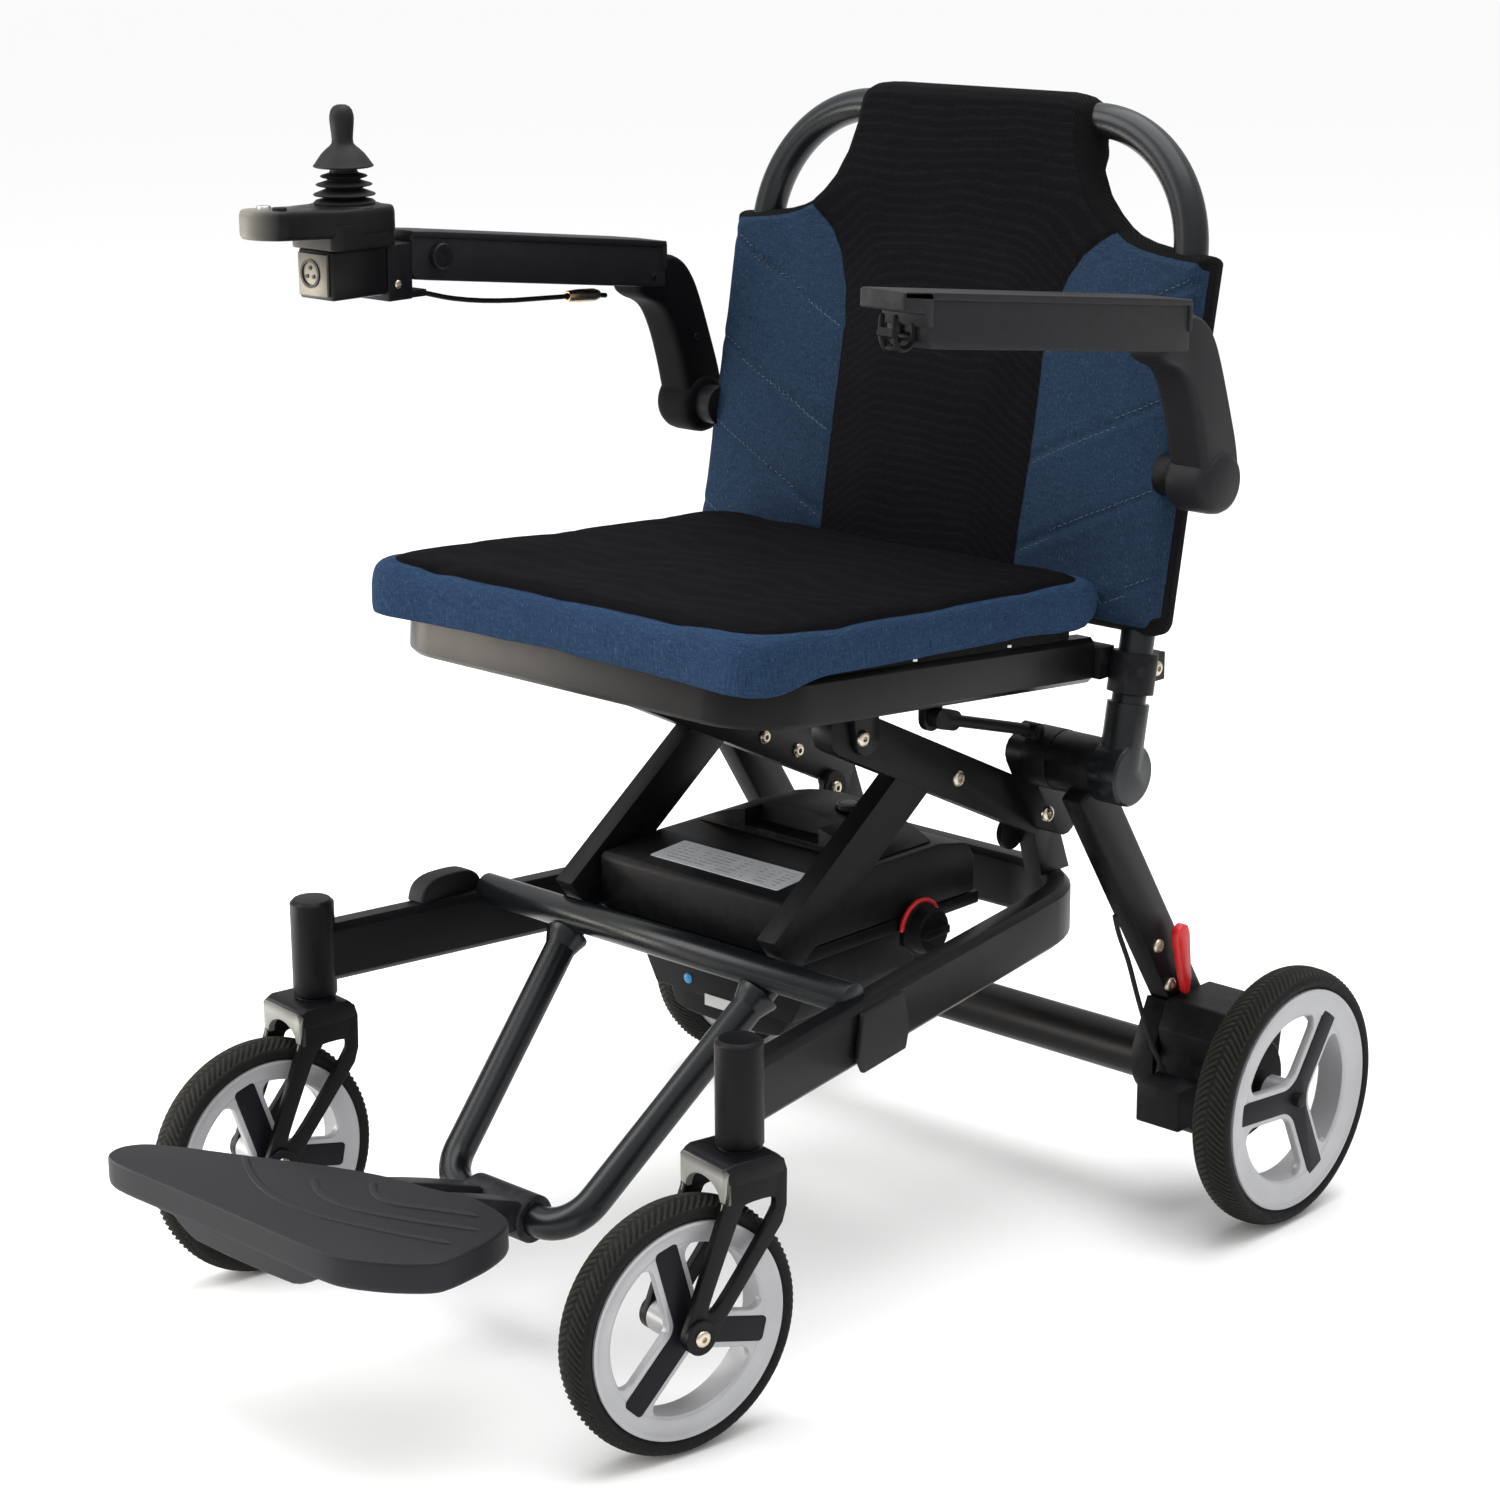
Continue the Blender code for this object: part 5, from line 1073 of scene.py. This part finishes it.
# ---------------------------------------------------------------- bolts
frame_bolts = []
for side, sign in SIDES:
    for x, y, z, way, radius in (
        (0.1193, -0.0315, 0.4410, 1, 0.0066), (0.1193, 0.0861, 0.3835, 1, 0.0066), (0.1193, 0.1923, 0.3323, 1, 0.0066),
        (0.1007, 0.0983, 0.3745, -1, 0.0060), (0.1007, 0.1395, 0.3545, -1, 0.0060),
        (0.2275, 0.1970, 0.4705, 1, 0.0062), (0.1265, -0.0358, 0.4423, 1, 0.0064), (0.1665, 0.1408, 0.3519, 1, 0.0064),
    ):
        frame_bolts.append((world(sign * x, y, z), (sign * way, 0, 0), radius))
bolt_sets = [("frame_bolts", "bolt", "chair_frame", "silver_metal", frame_bolts),
             ("inner_boss_bolts", "bolt", "chair_frame", "silver_metal",
              [(world(sign * 0.0940, 0.1800, 0.3140), (-sign, 0, 0), 0.0062) for side, sign in SIDES]),
             ("leg_bolts", "bolt", "rear_axle_frame", "silver_metal",
              [(world(sign * 0.2088, y, z), (sign, 0, 0), 0.0060)
               for side, sign in SIDES for y, z in ((0.2350, 0.2270), (0.2535, 0.1890))])]
for side, matrix in CASTER.items():
    bolt_sets.append((f"axle_bolts_{side}", "bolt", f"caster_fork_{side}_body", "silver_metal",
                      [(matrix @ Vector((end * 0.0298, 0, 0)), matrix.to_3x3() @ Vector((end, 0, 0)), 0.0062, 0.0028)
                       for end in (1, -1)]))
bolt_sets += [
    ("bracket_bolt", "bolt", "armrest_right", "silver_metal", [(world(-0.2519, -0.1560, 0.7650), (1, 0, 0), 0.0034, 0.0016)]),
    ("arm_pins", "plastic", "armrest_right", "black_plastic",
     [(world(-0.2533, 0.128, 0.7420), (1, 0, 0), 0.0030, 0.0014),
      (world(-0.2540, 0.1790, 0.6860), (1, 0, 0), 0.0030, 0.0014)]),
    ("rail_screws", "steel", "chair_frame", "silver_metal",
     [(on_seat(sign * 0.1955, y, SEAT_RAIL_H + 0.0028), (0, math.sin(SEAT_SLOPE), math.cos(SEAT_SLOPE)), 0.0026, 0.0014)
      for side, sign in SIDES for y in (-0.060, 0.050)]),
]
for name, look, body, slot, bolts in bolt_sets:
    bm = bmesh.new()
    for bolt in bolts:
        button_bolt(bm, *bolt)
    piece(name, bm, look, body, 32.0)
bm = bmesh.new()
for side, sign in SIDES:
    turned_up(bm, [(0, 0), (13.5, 0), (14.5, 1), (14.5, 6), (13.2, 7.4), (0, 7.4)],
              world(sign * 0.1012, 0.1800, 0.3140), (-sign, 0, 0), 40)
piece("inner_bosses", bm, "plastic", "chair_frame", 40.0)

# ---------------------------------------------------------------- caster forks
# outlines as (y, z) from the swivel axis on the floor
FORK_CHEEK = (mm((-29, 214), (-31.2, 205), (-32.8, 187))
              + arc_points((-CASTER_TRAIL, CASTER_AXLE_Z), 0.0128, 162, 332, 16)
              + mm((17.5, 163), (21.3, 175), (21.8, 202), (19, 211), (12, 215.8), (-24, 216.4)))
FORK_WINDOW = softened(mm((-18, 181), (-47.8, 114), (-47, 110.5), (-40, 110.8), (10.5, 173), (12, 182), (9, 185),
                          (-14.5, 185)), 2, 0.25)
FORK_CROWN = softened(counter_clockwise(mm((-30, 199), (19, 199), (20.5, 208), (16.5, 214), (11, 216.2), (-22.5, 216.8),
                                           (-28.5, 214.5), (-30.8, 209))), 1, 0.2)
# the face is an arch, as (x, z), whose opening is squashed to three quarters of a half circle
ARCH_FOOT, ARCH_SQUASH = 0.1870, 0.74
FORK_ARCH = mm((-27, 187), (-20.5, 187)) + [
    (a, ARCH_FOOT + (b - ARCH_FOOT) * ARCH_SQUASH)
    for a, b in arc_points((0, ARCH_FOOT), 0.0205, 180, 0, 18)[1:-1]
] + mm((20.5, 187), (27, 187), (27, 211), (24, 214.2), (-24, 214.2), (-27, 211))
for side, sign in SIDES:
    swivel = Matrix.Translation(world(sign * CASTER_X, CASTER_Y, 0.0)) @ Matrix.Rotation(CASTER_YAW[side], 4, "Z")
    axle = swivel @ Matrix.Translation((0, -CASTER_TRAIL, CASTER_AXLE_Z))
    bm = bmesh.new()
    for end in (1, -1):
        loops = [counter_clockwise(FORK_CHEEK), counter_clockwise(FORK_WINDOW)[::-1]]
        add_part(bm, pierced_plate, loops, *sorted((end * 0.0205, end * 0.0270)), swivel, 0.0009, 50.0)
        add_part(bm, turned_solid, [(end * x, r) for x, r in mm((26.2, 12.8), (29.2, 12.8), (30, 12))][::end], 40, axle)
    add_part(bm, slab, FORK_CROWN, -0.0272, 0.0272, 0.0040, 0.0040, lambda a, b, level: swivel @ Vector((level, a, b)))
    add_part(bm, turned_up, [(0, 212), (17, 212), (16.5, 215), (16, 217.6), (6, 217.6), (6, 284), (0, 284)],
             swivel @ Vector((0, 0, 0)), (0, 0, 1), 40)
    add_part(bm, turned_solid, [(-0.0300, 0.0045), (0.0300, 0.0045)], 24, axle)
    shown(f"caster_fork_{side}", bm, "frame", 40.0)
    # the front face and its edge strips carry the painted reflection of the fork's front satin
    bm = bmesh.new()
    slab(bm, FORK_ARCH, 0.0268, 0.0326, 0.0006, 0.0016, lambda a, b, level: swivel @ Vector((a, -level, b)), 3)
    for end in (1, -1):
        edge_line = [swivel @ Vector((end * 0.0237, a, b))
                     for a, b in mm((-31.8, 188.5), (-34.5, 172), (-43.5, 148), (-52, 127))]
        tube_along(bm, edge_line, 0.0024, 12, 0.7, Vector((1, 0, 0)), 0.5)
    piece(f"caster_fork_face_{side}", bm, "fork_face", f"caster_fork_{side}_body", 35.0)

# ---------------------------------------------------------------- battery and controller dressing
TOP_TILT = math.atan2(0.0045, 0.0635)


def on_battery_top(a, b, level):
    return world(a, -0.0935 + b * math.cos(TOP_TILT) - level * math.sin(TOP_TILT),
                 0.3200 + b * math.sin(TOP_TILT) + level * math.cos(TOP_TILT))


for name, look, body, slot, smooth, place, direction, count, profile in (
    ("battery_cap", "soft_plastic", "chair_frame", "black_plastic", 40.0, (0.0260, 0.0620, 0.3478), (0, -0.03, 1), 40,
     ((0, -2), (11, -2), (11, 1.6), (10.2, 2.8), (8.6, 2.8), (8, 2), (7.6, 2), (7.2, 3), (0, 3.6))),
    ("controller_dot", "blue", "chair_frame", "black_plastic", 40.0, (-0.0378, -0.0594, 0.2178), (0, -1, 0), 32,
     ((0, -1), (4.4, -1), (4.4, 0.8), (3.6, 1.4), (0, 1.6))),
    # clamp knob on the inner side of the right arm
    ("arm_knob", "plastic", "armrest_right", "black_plastic", 25.0, (-0.2533, -0.1117, 0.7830), (1, 0, 0), 12,
     ((0, -1), (9.5, -1), (10.4, 0.4), (10.4, 5.2), (9.4, 6.6), (0, 6.8))),
):
    bm = bmesh.new()
    turned_up(bm, profile, world(*place), direction, count)
    piece(name, bm, look, body, smooth)
for name, look, slot, smooth, outline, *shape in (
    ("battery_label_plate", "label", "silver_metal", 30.0, rounded_rectangle(-0.060, 0.078, 0.0145, 0.0545, 0.002, 4),
     -0.0004, 0.0004, 0.0001, 0.0002, on_battery_top, 2),
    ("controller_tag", "white", "silver_metal", 30.0, mm((-19, 200), (26, 200), (26, 209.5), (-19, 209.5)),
     0.0590, 0.0604, 0.0001, 0.0002, to_front, 2),
    ("controller_tray_base", "plastic", "black_plastic", 35.0,
     softened(mm((-61, 220), (-57, 198), (-45, 188), (56, 188), (68, 201), (72, 220)), 2, 0.22),
     -0.1300, 0.0594, 0.0050, 0.0050, to_front),
    ("rail_pad_right", "rubber", "soft_rubber", 35.0,
     softened(mm((-195, 270), (-190, 288), (-176, 294.5), (-142, 293.5), (-130, 286), (-127, 270)), 2, 0.22),
     0.2050, 0.2235, 0.0030, 0.0030, along_x(-1)),
):
    bm = bmesh.new()
    slab(bm, outline, *shape)
    piece(name, bm, look, "chair_frame", smooth)

bm = bmesh.new()
ring_arc = [world(0.1040, a, b) for a, b in arc_points((0.060, 0.2625), 0.0228, 30, 175, 29)]
tube_along(bm, ring_arc, 0.0021, 16, 1.0, Vector((1, 0, 0)))
piece("latch_ring", bm, "red", BODY_OF["battery_latch"], 40.0)

# ---------------------------------------------------------------- footplate
PLATE = mm(
    (150, -429), (133, -419), (93, -413), (65, -423), (32, -427), (-14, -441), (-74, -469), (-125, -492), (-156, -508),
    (-166, -525), (-161, -542), (-143, -548), (-82, -547), (-13, -547), (78, -548), (106, -546), (138, -529),
    (162, -508), (164, -490), (160, -455))
PLATE_BELLY = mm((-90, 161), (-82, 156), (-64, 145.5), (-50, 141.5), (50, 141.5), (64, 145.5), (82, 156), (90, 161))
PLATE_ARM = mm((-300, 120), (-360, 142), (-430, 164), (-460, 164), (-460, 148), (-390, 123), (-308, 96))
RIDGES = (
    mm((-82.4, -476), (-60, -490), (-30, -503), (-0.1, -509.5), (30, -509), (60, -504), (100, -493), (146, -477)),
    mm((-12, -470), (8, -481.5), (31, -486), (56, -483), (95, -470), (143, -449)),
    mm((25, -446), (40, -457), (62, -460), (90, -448), (124, -433)),
)
bm = bmesh.new()
slab(bm, softened(PLATE, 2, 0.22), 0.1560, 0.1790, 0.0060, 0.0030, along_z, 6)
add_part(bm, slab, softened(PLATE_BELLY, 1, 0.25), 0.4400, 0.5450, 0.006, 0.005, to_front)
for line in RIDGES:
    add_part(bm, tube_along, curved([world(x, y, 0.1788) for x, y in line], 7), 0.0030, 16, 0.62, Vector((0, 0, 1)), 0.25)
for middle in (0.0210, -0.0210):
    add_part(bm, slab, softened(PLATE_ARM, 1, 0.2), middle - 0.0095, middle + 0.0095, 0.002, 0.002, along_x(1), 3)
add_part(bm, turned_loop, mm((-33.5, 12.7), (-33.5, 17.2), (-32, 18.5), (32, 18.5), (33.5, 17.2), (33.5, 12.7)), 64,
         Matrix.Translation(world(*FOOT_HINGE)))
shown("footplate", bm, "foot", 32.0)

# ---------------------------------------------------------------- armrests
ARM_X = 0.2717
ARM_END = 0.1420
ARM_REAR = (0.154, 0.770)
ARM_FRONT = {"left": (-0.182, 0.8105), "right": (-0.140, 0.8055)}
UPRIGHT = mm((112, 731), (120, 724), (132, 720), (144, 712), (154.5, 692), (164, 661), (170.5, 632), (177, 612),
             (191, 604), (206, 611), (214, 628), (211, 652), (198, 690), (188, 718), (179, 738), (167, 753), (150, 760),
             (136, 754))
UPRIGHT_CAP = ((0, 0), (20.5, 0), (23.5, 1.6), (25, 5.5), (25.2, 12), (25.2, 29), (24.4, 34.5), (22.2, 38.5),
               (18.5, 40.7), (0, 41.2))


def arm_line(side, *points):
    """(y, z) points from (y, drop) ones, the drop being measured down from the top of the arm."""
    front_y, front_z = ARM_FRONT[side]
    slope = (front_z - ARM_REAR[1]) / (ARM_REAR[0] - front_y)
    return [(y, ARM_REAR[1] + (ARM_REAR[0] - y) * slope - drop) for y, drop in points]


def arm_slab(bm, outline, cut, half, rounding, sign, steps=4):
    add_part(bm, slab, softened(outline, 1, cut), ARM_X - half, ARM_X + half, rounding, rounding, along_x(sign), steps)


for side, sign in SIDES:
    bm = bmesh.new()
    front = start = ARM_FRONT[side][0]
    if side == "left":
        start = front + 0.0260
        arm_slab(bm, arm_line(side, (front + 0.0300, 0.0), (front, 0.0), (front - 0.0004, 0.0135),
                              (front + 0.0100, 0.0145), (front + 0.0215, 0.0150), (front + 0.0240, 0.0240),
                              (front + 0.0300, 0.0240)), 0.08, 0.0200, 0.0018, sign)
    arm_slab(bm, arm_line(side, (ARM_END, 0.0012), (start, 0.0012), (start, 0.0345), (start + 0.0040, 0.0390),
                          (ARM_END - 0.003, 0.0398), (ARM_END, 0.0370)), 0.06, 0.0186, 0.0020, sign)
    # cap strip over the top, standing a little proud of the sides, and end plate
    arm_slab(bm, arm_line(side, (ARM_END + 0.001, 0.0), (front + 0.0006, 0.0), (front + 0.0006, 0.0058),
                          (ARM_END + 0.001, 0.0058)), 0.10, 0.0200, 0.0020, sign)
    arm_slab(bm, arm_line(side, (ARM_END + 0.0015, 0.0005), (ARM_END - 0.003, 0.0005), (ARM_END - 0.003, 0.0240),
                          (ARM_END + 0.0015, 0.0240)), 0.12, 0.0197, 0.0012, sign, 3)
    shown(f"armrest_beam_{side}", bm, "arm", 30.0)
    bm = bmesh.new()
    slab(bm, softened(arm_line(side, (0.1120, 0.0250)) + UPRIGHT, 2, 0.25), ARM_X - 0.0178, ARM_X + 0.0178, 0.0085,
         0.0085, along_x(sign), 6)
    add_part(bm, turned_up, UPRIGHT_CAP, world(sign * 0.2518, 0.190, 0.627), (sign, 0, 0), 64)
    # the right upright takes the darker copy of the arm plastic: painted shade
    shown(f"armrest_upright_{side}", bm, "arm" if side == "left" else "dull_arm", 42.0)

# the left arm's hanging clip, a bent strip with a slot through it
CLIP_Y = -0.1665
CLIP_LOOP = mm((-8.5, 793), (-10, 780), (-6, 770), (3, 769), (9, 774.5), (9.5, 787))
bm = bmesh.new()
for offset in (-0.0060, 0.0060):
    tube_along(bm, curved([world(ARM_X + offset, CLIP_Y + a, b) for a, b in CLIP_LOOP], 5), 0.0021, 12, 1.0,
               Vector((1, 0, 0)))
slab(bm, [(CLIP_Y + a, b) for a, b in mm((-14, 779), (-9, 776), (-7, 781.5), (-12, 784))], ARM_X - 0.0070,
     ARM_X + 0.0070, 0.0006, 0.0006, along_x(1), 2)
for y, z in ((CLIP_Y - 0.0060, 0.7700), (CLIP_Y + 0.0088, 0.7760)):
    tube_along(bm, [world(ARM_X + offset, y, z) for offset in (-0.0062, -0.003, 0.003, 0.0062)], 0.0021, 12)
shown("armrest_clip_left", bm, "plastic", 50.0, "armrest_clip_shown")

# ---------------------------------------------------------------- joystick unit on the right arm
JOY_X, JOY_Y, HEAD_TOP = -ARM_X, -0.190, 0.8280
BOOT = ((0, 0), (23.6, 0), (23.8, 2.2), (22.2, 3.6), (16.5, 5), (15.8, 6), (23.6, 7.2), (24.2, 8), (23.2, 8.8),
        (14.8, 12), (14.2, 13), (21.2, 14.6), (22, 15.4), (21, 16.2), (13.2, 18.6), (12.8, 19.6), (17.6, 21),
        (18.4, 21.8), (17.4, 22.6), (11.2, 24.4), (11, 25.6), (8.5, 26.2), (0, 26.2))
STICK = ((0, 834), (4, 834), (4, 850), (9.8, 850.8), (10.4, 851.6), (10.6, 855.6), (21.5, 856.8), (23.2, 857.4),
         (23.4, 858.2), (22.2, 859.6), (19.6, 863.4), (16.6, 867.4), (13, 870.8), (10, 873.2), (8.5, 875.2), (8.2, 878.2),
         (8.5, 882.5), (9.1, 888), (9.5, 893), (9.3, 896.6), (8.3, 900.2), (6.4, 902.8), (3.7, 904.2), (0, 904.6))
SOCKET = (JOY_X - 0.0025, 0.7782)


def raised_nose(a, b, level):
    """The front of the joystick head rises a little."""
    return world(a, b, level + max(0.0, -0.215 - b) * 0.050)


neck = mm((23.5, -232), (26.5, -220), (30, -204))
head_outline = (
    arc_points((JOY_X + 0.020, -0.1700), 0.010, 0, 90, 6) + arc_points((JOY_X - 0.020, -0.1700), 0.010, 90, 180, 6)
    + [(JOY_X - a, b) for a, b in neck[::-1]] + arc_points((JOY_X, -0.2640), 0.0232, 170, 370, 20)
    + [(JOY_X + a, b) for a, b in neck])
bm = bmesh.new()
slab(bm, softened(head_outline, 1, 0.25), 0.8060, HEAD_TOP, 0.0050, 0.0060, raised_nose, 6)
add_part(bm, slab, rounded_rectangle(JOY_X - 0.0295, JOY_X + 0.0295, -0.2240, -0.1610, 0.009, 6), 0.7966, 0.8160, 0.0020,
         0.0010, along_z, 3)
add_part(bm, turned_up, ((0, -2), (28.5, -2), (28.5, -0.2), (27.2, 0.8), (25, 0.8), (0, 0.5)),
         world(JOY_X, JOY_Y, HEAD_TOP), (0, 0, 1), 64)
shown("joystick_head", bm, "head", 35.0)
for node, profile, base, smooth in (("joystick_boot", BOOT, HEAD_TOP + 0.0004, 50.0), ("joystick_stick", STICK, 0.0, 42.0)):
    bm = bmesh.new()
    turned_up(bm, profile, world(JOY_X, JOY_Y, base), (0, 0, 1), 56)
    shown(node, bm, "rubber", smooth)
for node, look, offset in (("power_button", "steel", -0.0095), ("horn_button", "plastic", 0.0096)):
    bm = bmesh.new()
    turned_up(bm, ((0, -2), (5.6, -2), (5.6, 1.6), (5, 2.4), (3, 2.5), (0, 2.2)),
              raised_nose(JOY_X + offset, -0.2620, HEAD_TOP), (0, 0, 1), 32)
    shown(node, bm, look, 40.0)
bm = bmesh.new()
slab(bm, [(JOY_X + a, b) for a, b in mm((-17, 761.2), (17, 761.2), (17, 793.7), (-17, 793.7))], 0.2222, 0.2248, 0.0004,
     0.0008, to_front, 3)
shown("charge_socket", bm, "plate", 30.0)
bm = bmesh.new()
turned_loop(bm, mm((0, 9), (1.2, 9), (1.2, 11.2), (0, 11.2)), 48,
            Matrix.Translation(world(SOCKET[0], -0.2246, SOCKET[1])) @ Matrix.Rotation(math.radians(-90), 4, "Z"))
for a, b in arc_points(SOCKET, 0.0045, 90, 330, 2):
    turned_up(bm, ((0, 0), (1.6, 0), (1.6, 0.9), (0, 0.9)), world(a, -0.2246, b), (0, -1, 0), 16)
piece("charge_socket_ring", bm, "soft_plastic", BODY_OF["charge_socket"], 40.0)

# ---------------------------------------------------------------- seat sling
SLING_X, SLING_Y = 0.1965, 0.1900
bm = bmesh.new()
slab(bm, rounded_rectangle(-SLING_X, SLING_X, -SLING_Y, SLING_Y, 0.040, 8), 0.0, 1.0, 0.0010, 0.0016,
     lambda a, b, level: on_seat(a, b + SEAT_FRONT_Y + 0.0020 + SLING_Y, SEAT_RAIL_H + 0.0002
                                 + level * (sling_height((b + SLING_Y) / (2 * SLING_Y)) + 0.0004)), 3)
piece("seat_sling", bm, "sling", "chair_frame", 40.0)

# ---------------------------------------------------------------- CAD nodes whose shape is kept
for look, names in {
    "seat_bar": ["seat_frame"],
    "frame": ["front_frame", "side_truss_left", "side_truss_right", "rear_frame", "brace_rod_left", "brace_rod_right"],
    "tube": ["back_post_left", "back_post_right"],
    "plastic": ["seat_clamp_left", "seat_clamp_right", "controller_tray", "armrest_hub_left", "armrest_hub_right",
                "battery_latch", "joystick_bracket", "drive_motor_left", "drive_motor_right"],
    "soft_plastic": ["joystick_box"],
    "case": ["battery_case"],
    "rubber": ["bumper_left", "bumper_right", "joystick_cable", "motor_cable_left"],
    "red": ["brake_lever_left", "brake_lever_right"],
    "steel": ["joystick_gimbal"],
    "brass": ["cable_connector"],
}.items():
    for name in names:
        refined(name, look)

# ---------------------------------------------------------------- floor and light
floor_mat = Nodes("floor_pale", 0.7, 0.0, (0.93, 0.93, 0.93), Specular_IOR_Level=0.0)
floor_mat.put(floor_mat.bsdf.inputs["Roughness"], floor_mat.span(floor_mat.noise(3.0, 4.0), 0.3, 0.7, 0.62, 0.78))
bm = bmesh.new()
bmesh.ops.create_grid(bm, x_segments=8, y_segments=8, size=70.0)
floor = link("floor", bm, floor_mat.mat)

studio = bpy.data.worlds.new("studio")
studio.use_nodes = True
tree = studio.node_tree
sky = tree.nodes.new("ShaderNodeTexCoord")
height = tree.nodes.new("ShaderNodeSeparateXYZ")
tree.links.new(sky.outputs["Generated"], height.inputs[0])
brighter = tree.nodes.new("ShaderNodeMath")
brighter.operation = "MAXIMUM"
# a sky that brightens upwards, and a pale haze just above the horizon
for slot, numbers in enumerate(((0.0, 0.9, 0.42, 1.25), (0.045, 0.085, 0.97, 0.0))):
    ramp = tree.nodes.new("ShaderNodeMapRange")
    for key, number in zip(("From Min", "From Max", "To Min", "To Max"), numbers):
        ramp.inputs[key].default_value = number
    tree.links.new(height.outputs["Z"], ramp.inputs["Value"])
    tree.links.new(ramp.outputs["Result"], brighter.inputs[slot])
tree.links.new(brighter.outputs[0], tree.nodes["Background"].inputs["Strength"])
tree.nodes["Background"].inputs["Color"].default_value = (1.0, 1.0, 1.0, 1)
bpy.context.scene.world = studio

for name, place, target, size, power, tint in (
    ("key", (-1.9, -2.2, 2.6), (0, 0, 0.4), (2.0, 2.0), 60, (1, 1, 1)),
    ("front_card", (-1.75, -1.15, 0.30), (0, -0.1, 0.40), (1.3, 0.6), 20, (1.0, 0.93, 0.84)),
    ("top", (0.1, 0.3, 3.2), (0, 0, 0.4), (3.0, 3.0), 90, (1, 1, 1)),
):
    data = bpy.data.lights.new(name, "AREA")
    data.shape = "RECTANGLE"
    data.size, data.size_y = size
    data.energy = power
    data.color = tint
    obj = bpy.data.objects.new(name, data)
    obj.location = place
    obj.rotation_mode = "QUATERNION"
    obj.rotation_quaternion = (Vector(target) - Vector(place)).to_track_quat("-Z", "Y")
    bpy.context.scene.collection.objects.link(obj)

bpy.context.scene.view_settings.view_transform = "Standard"
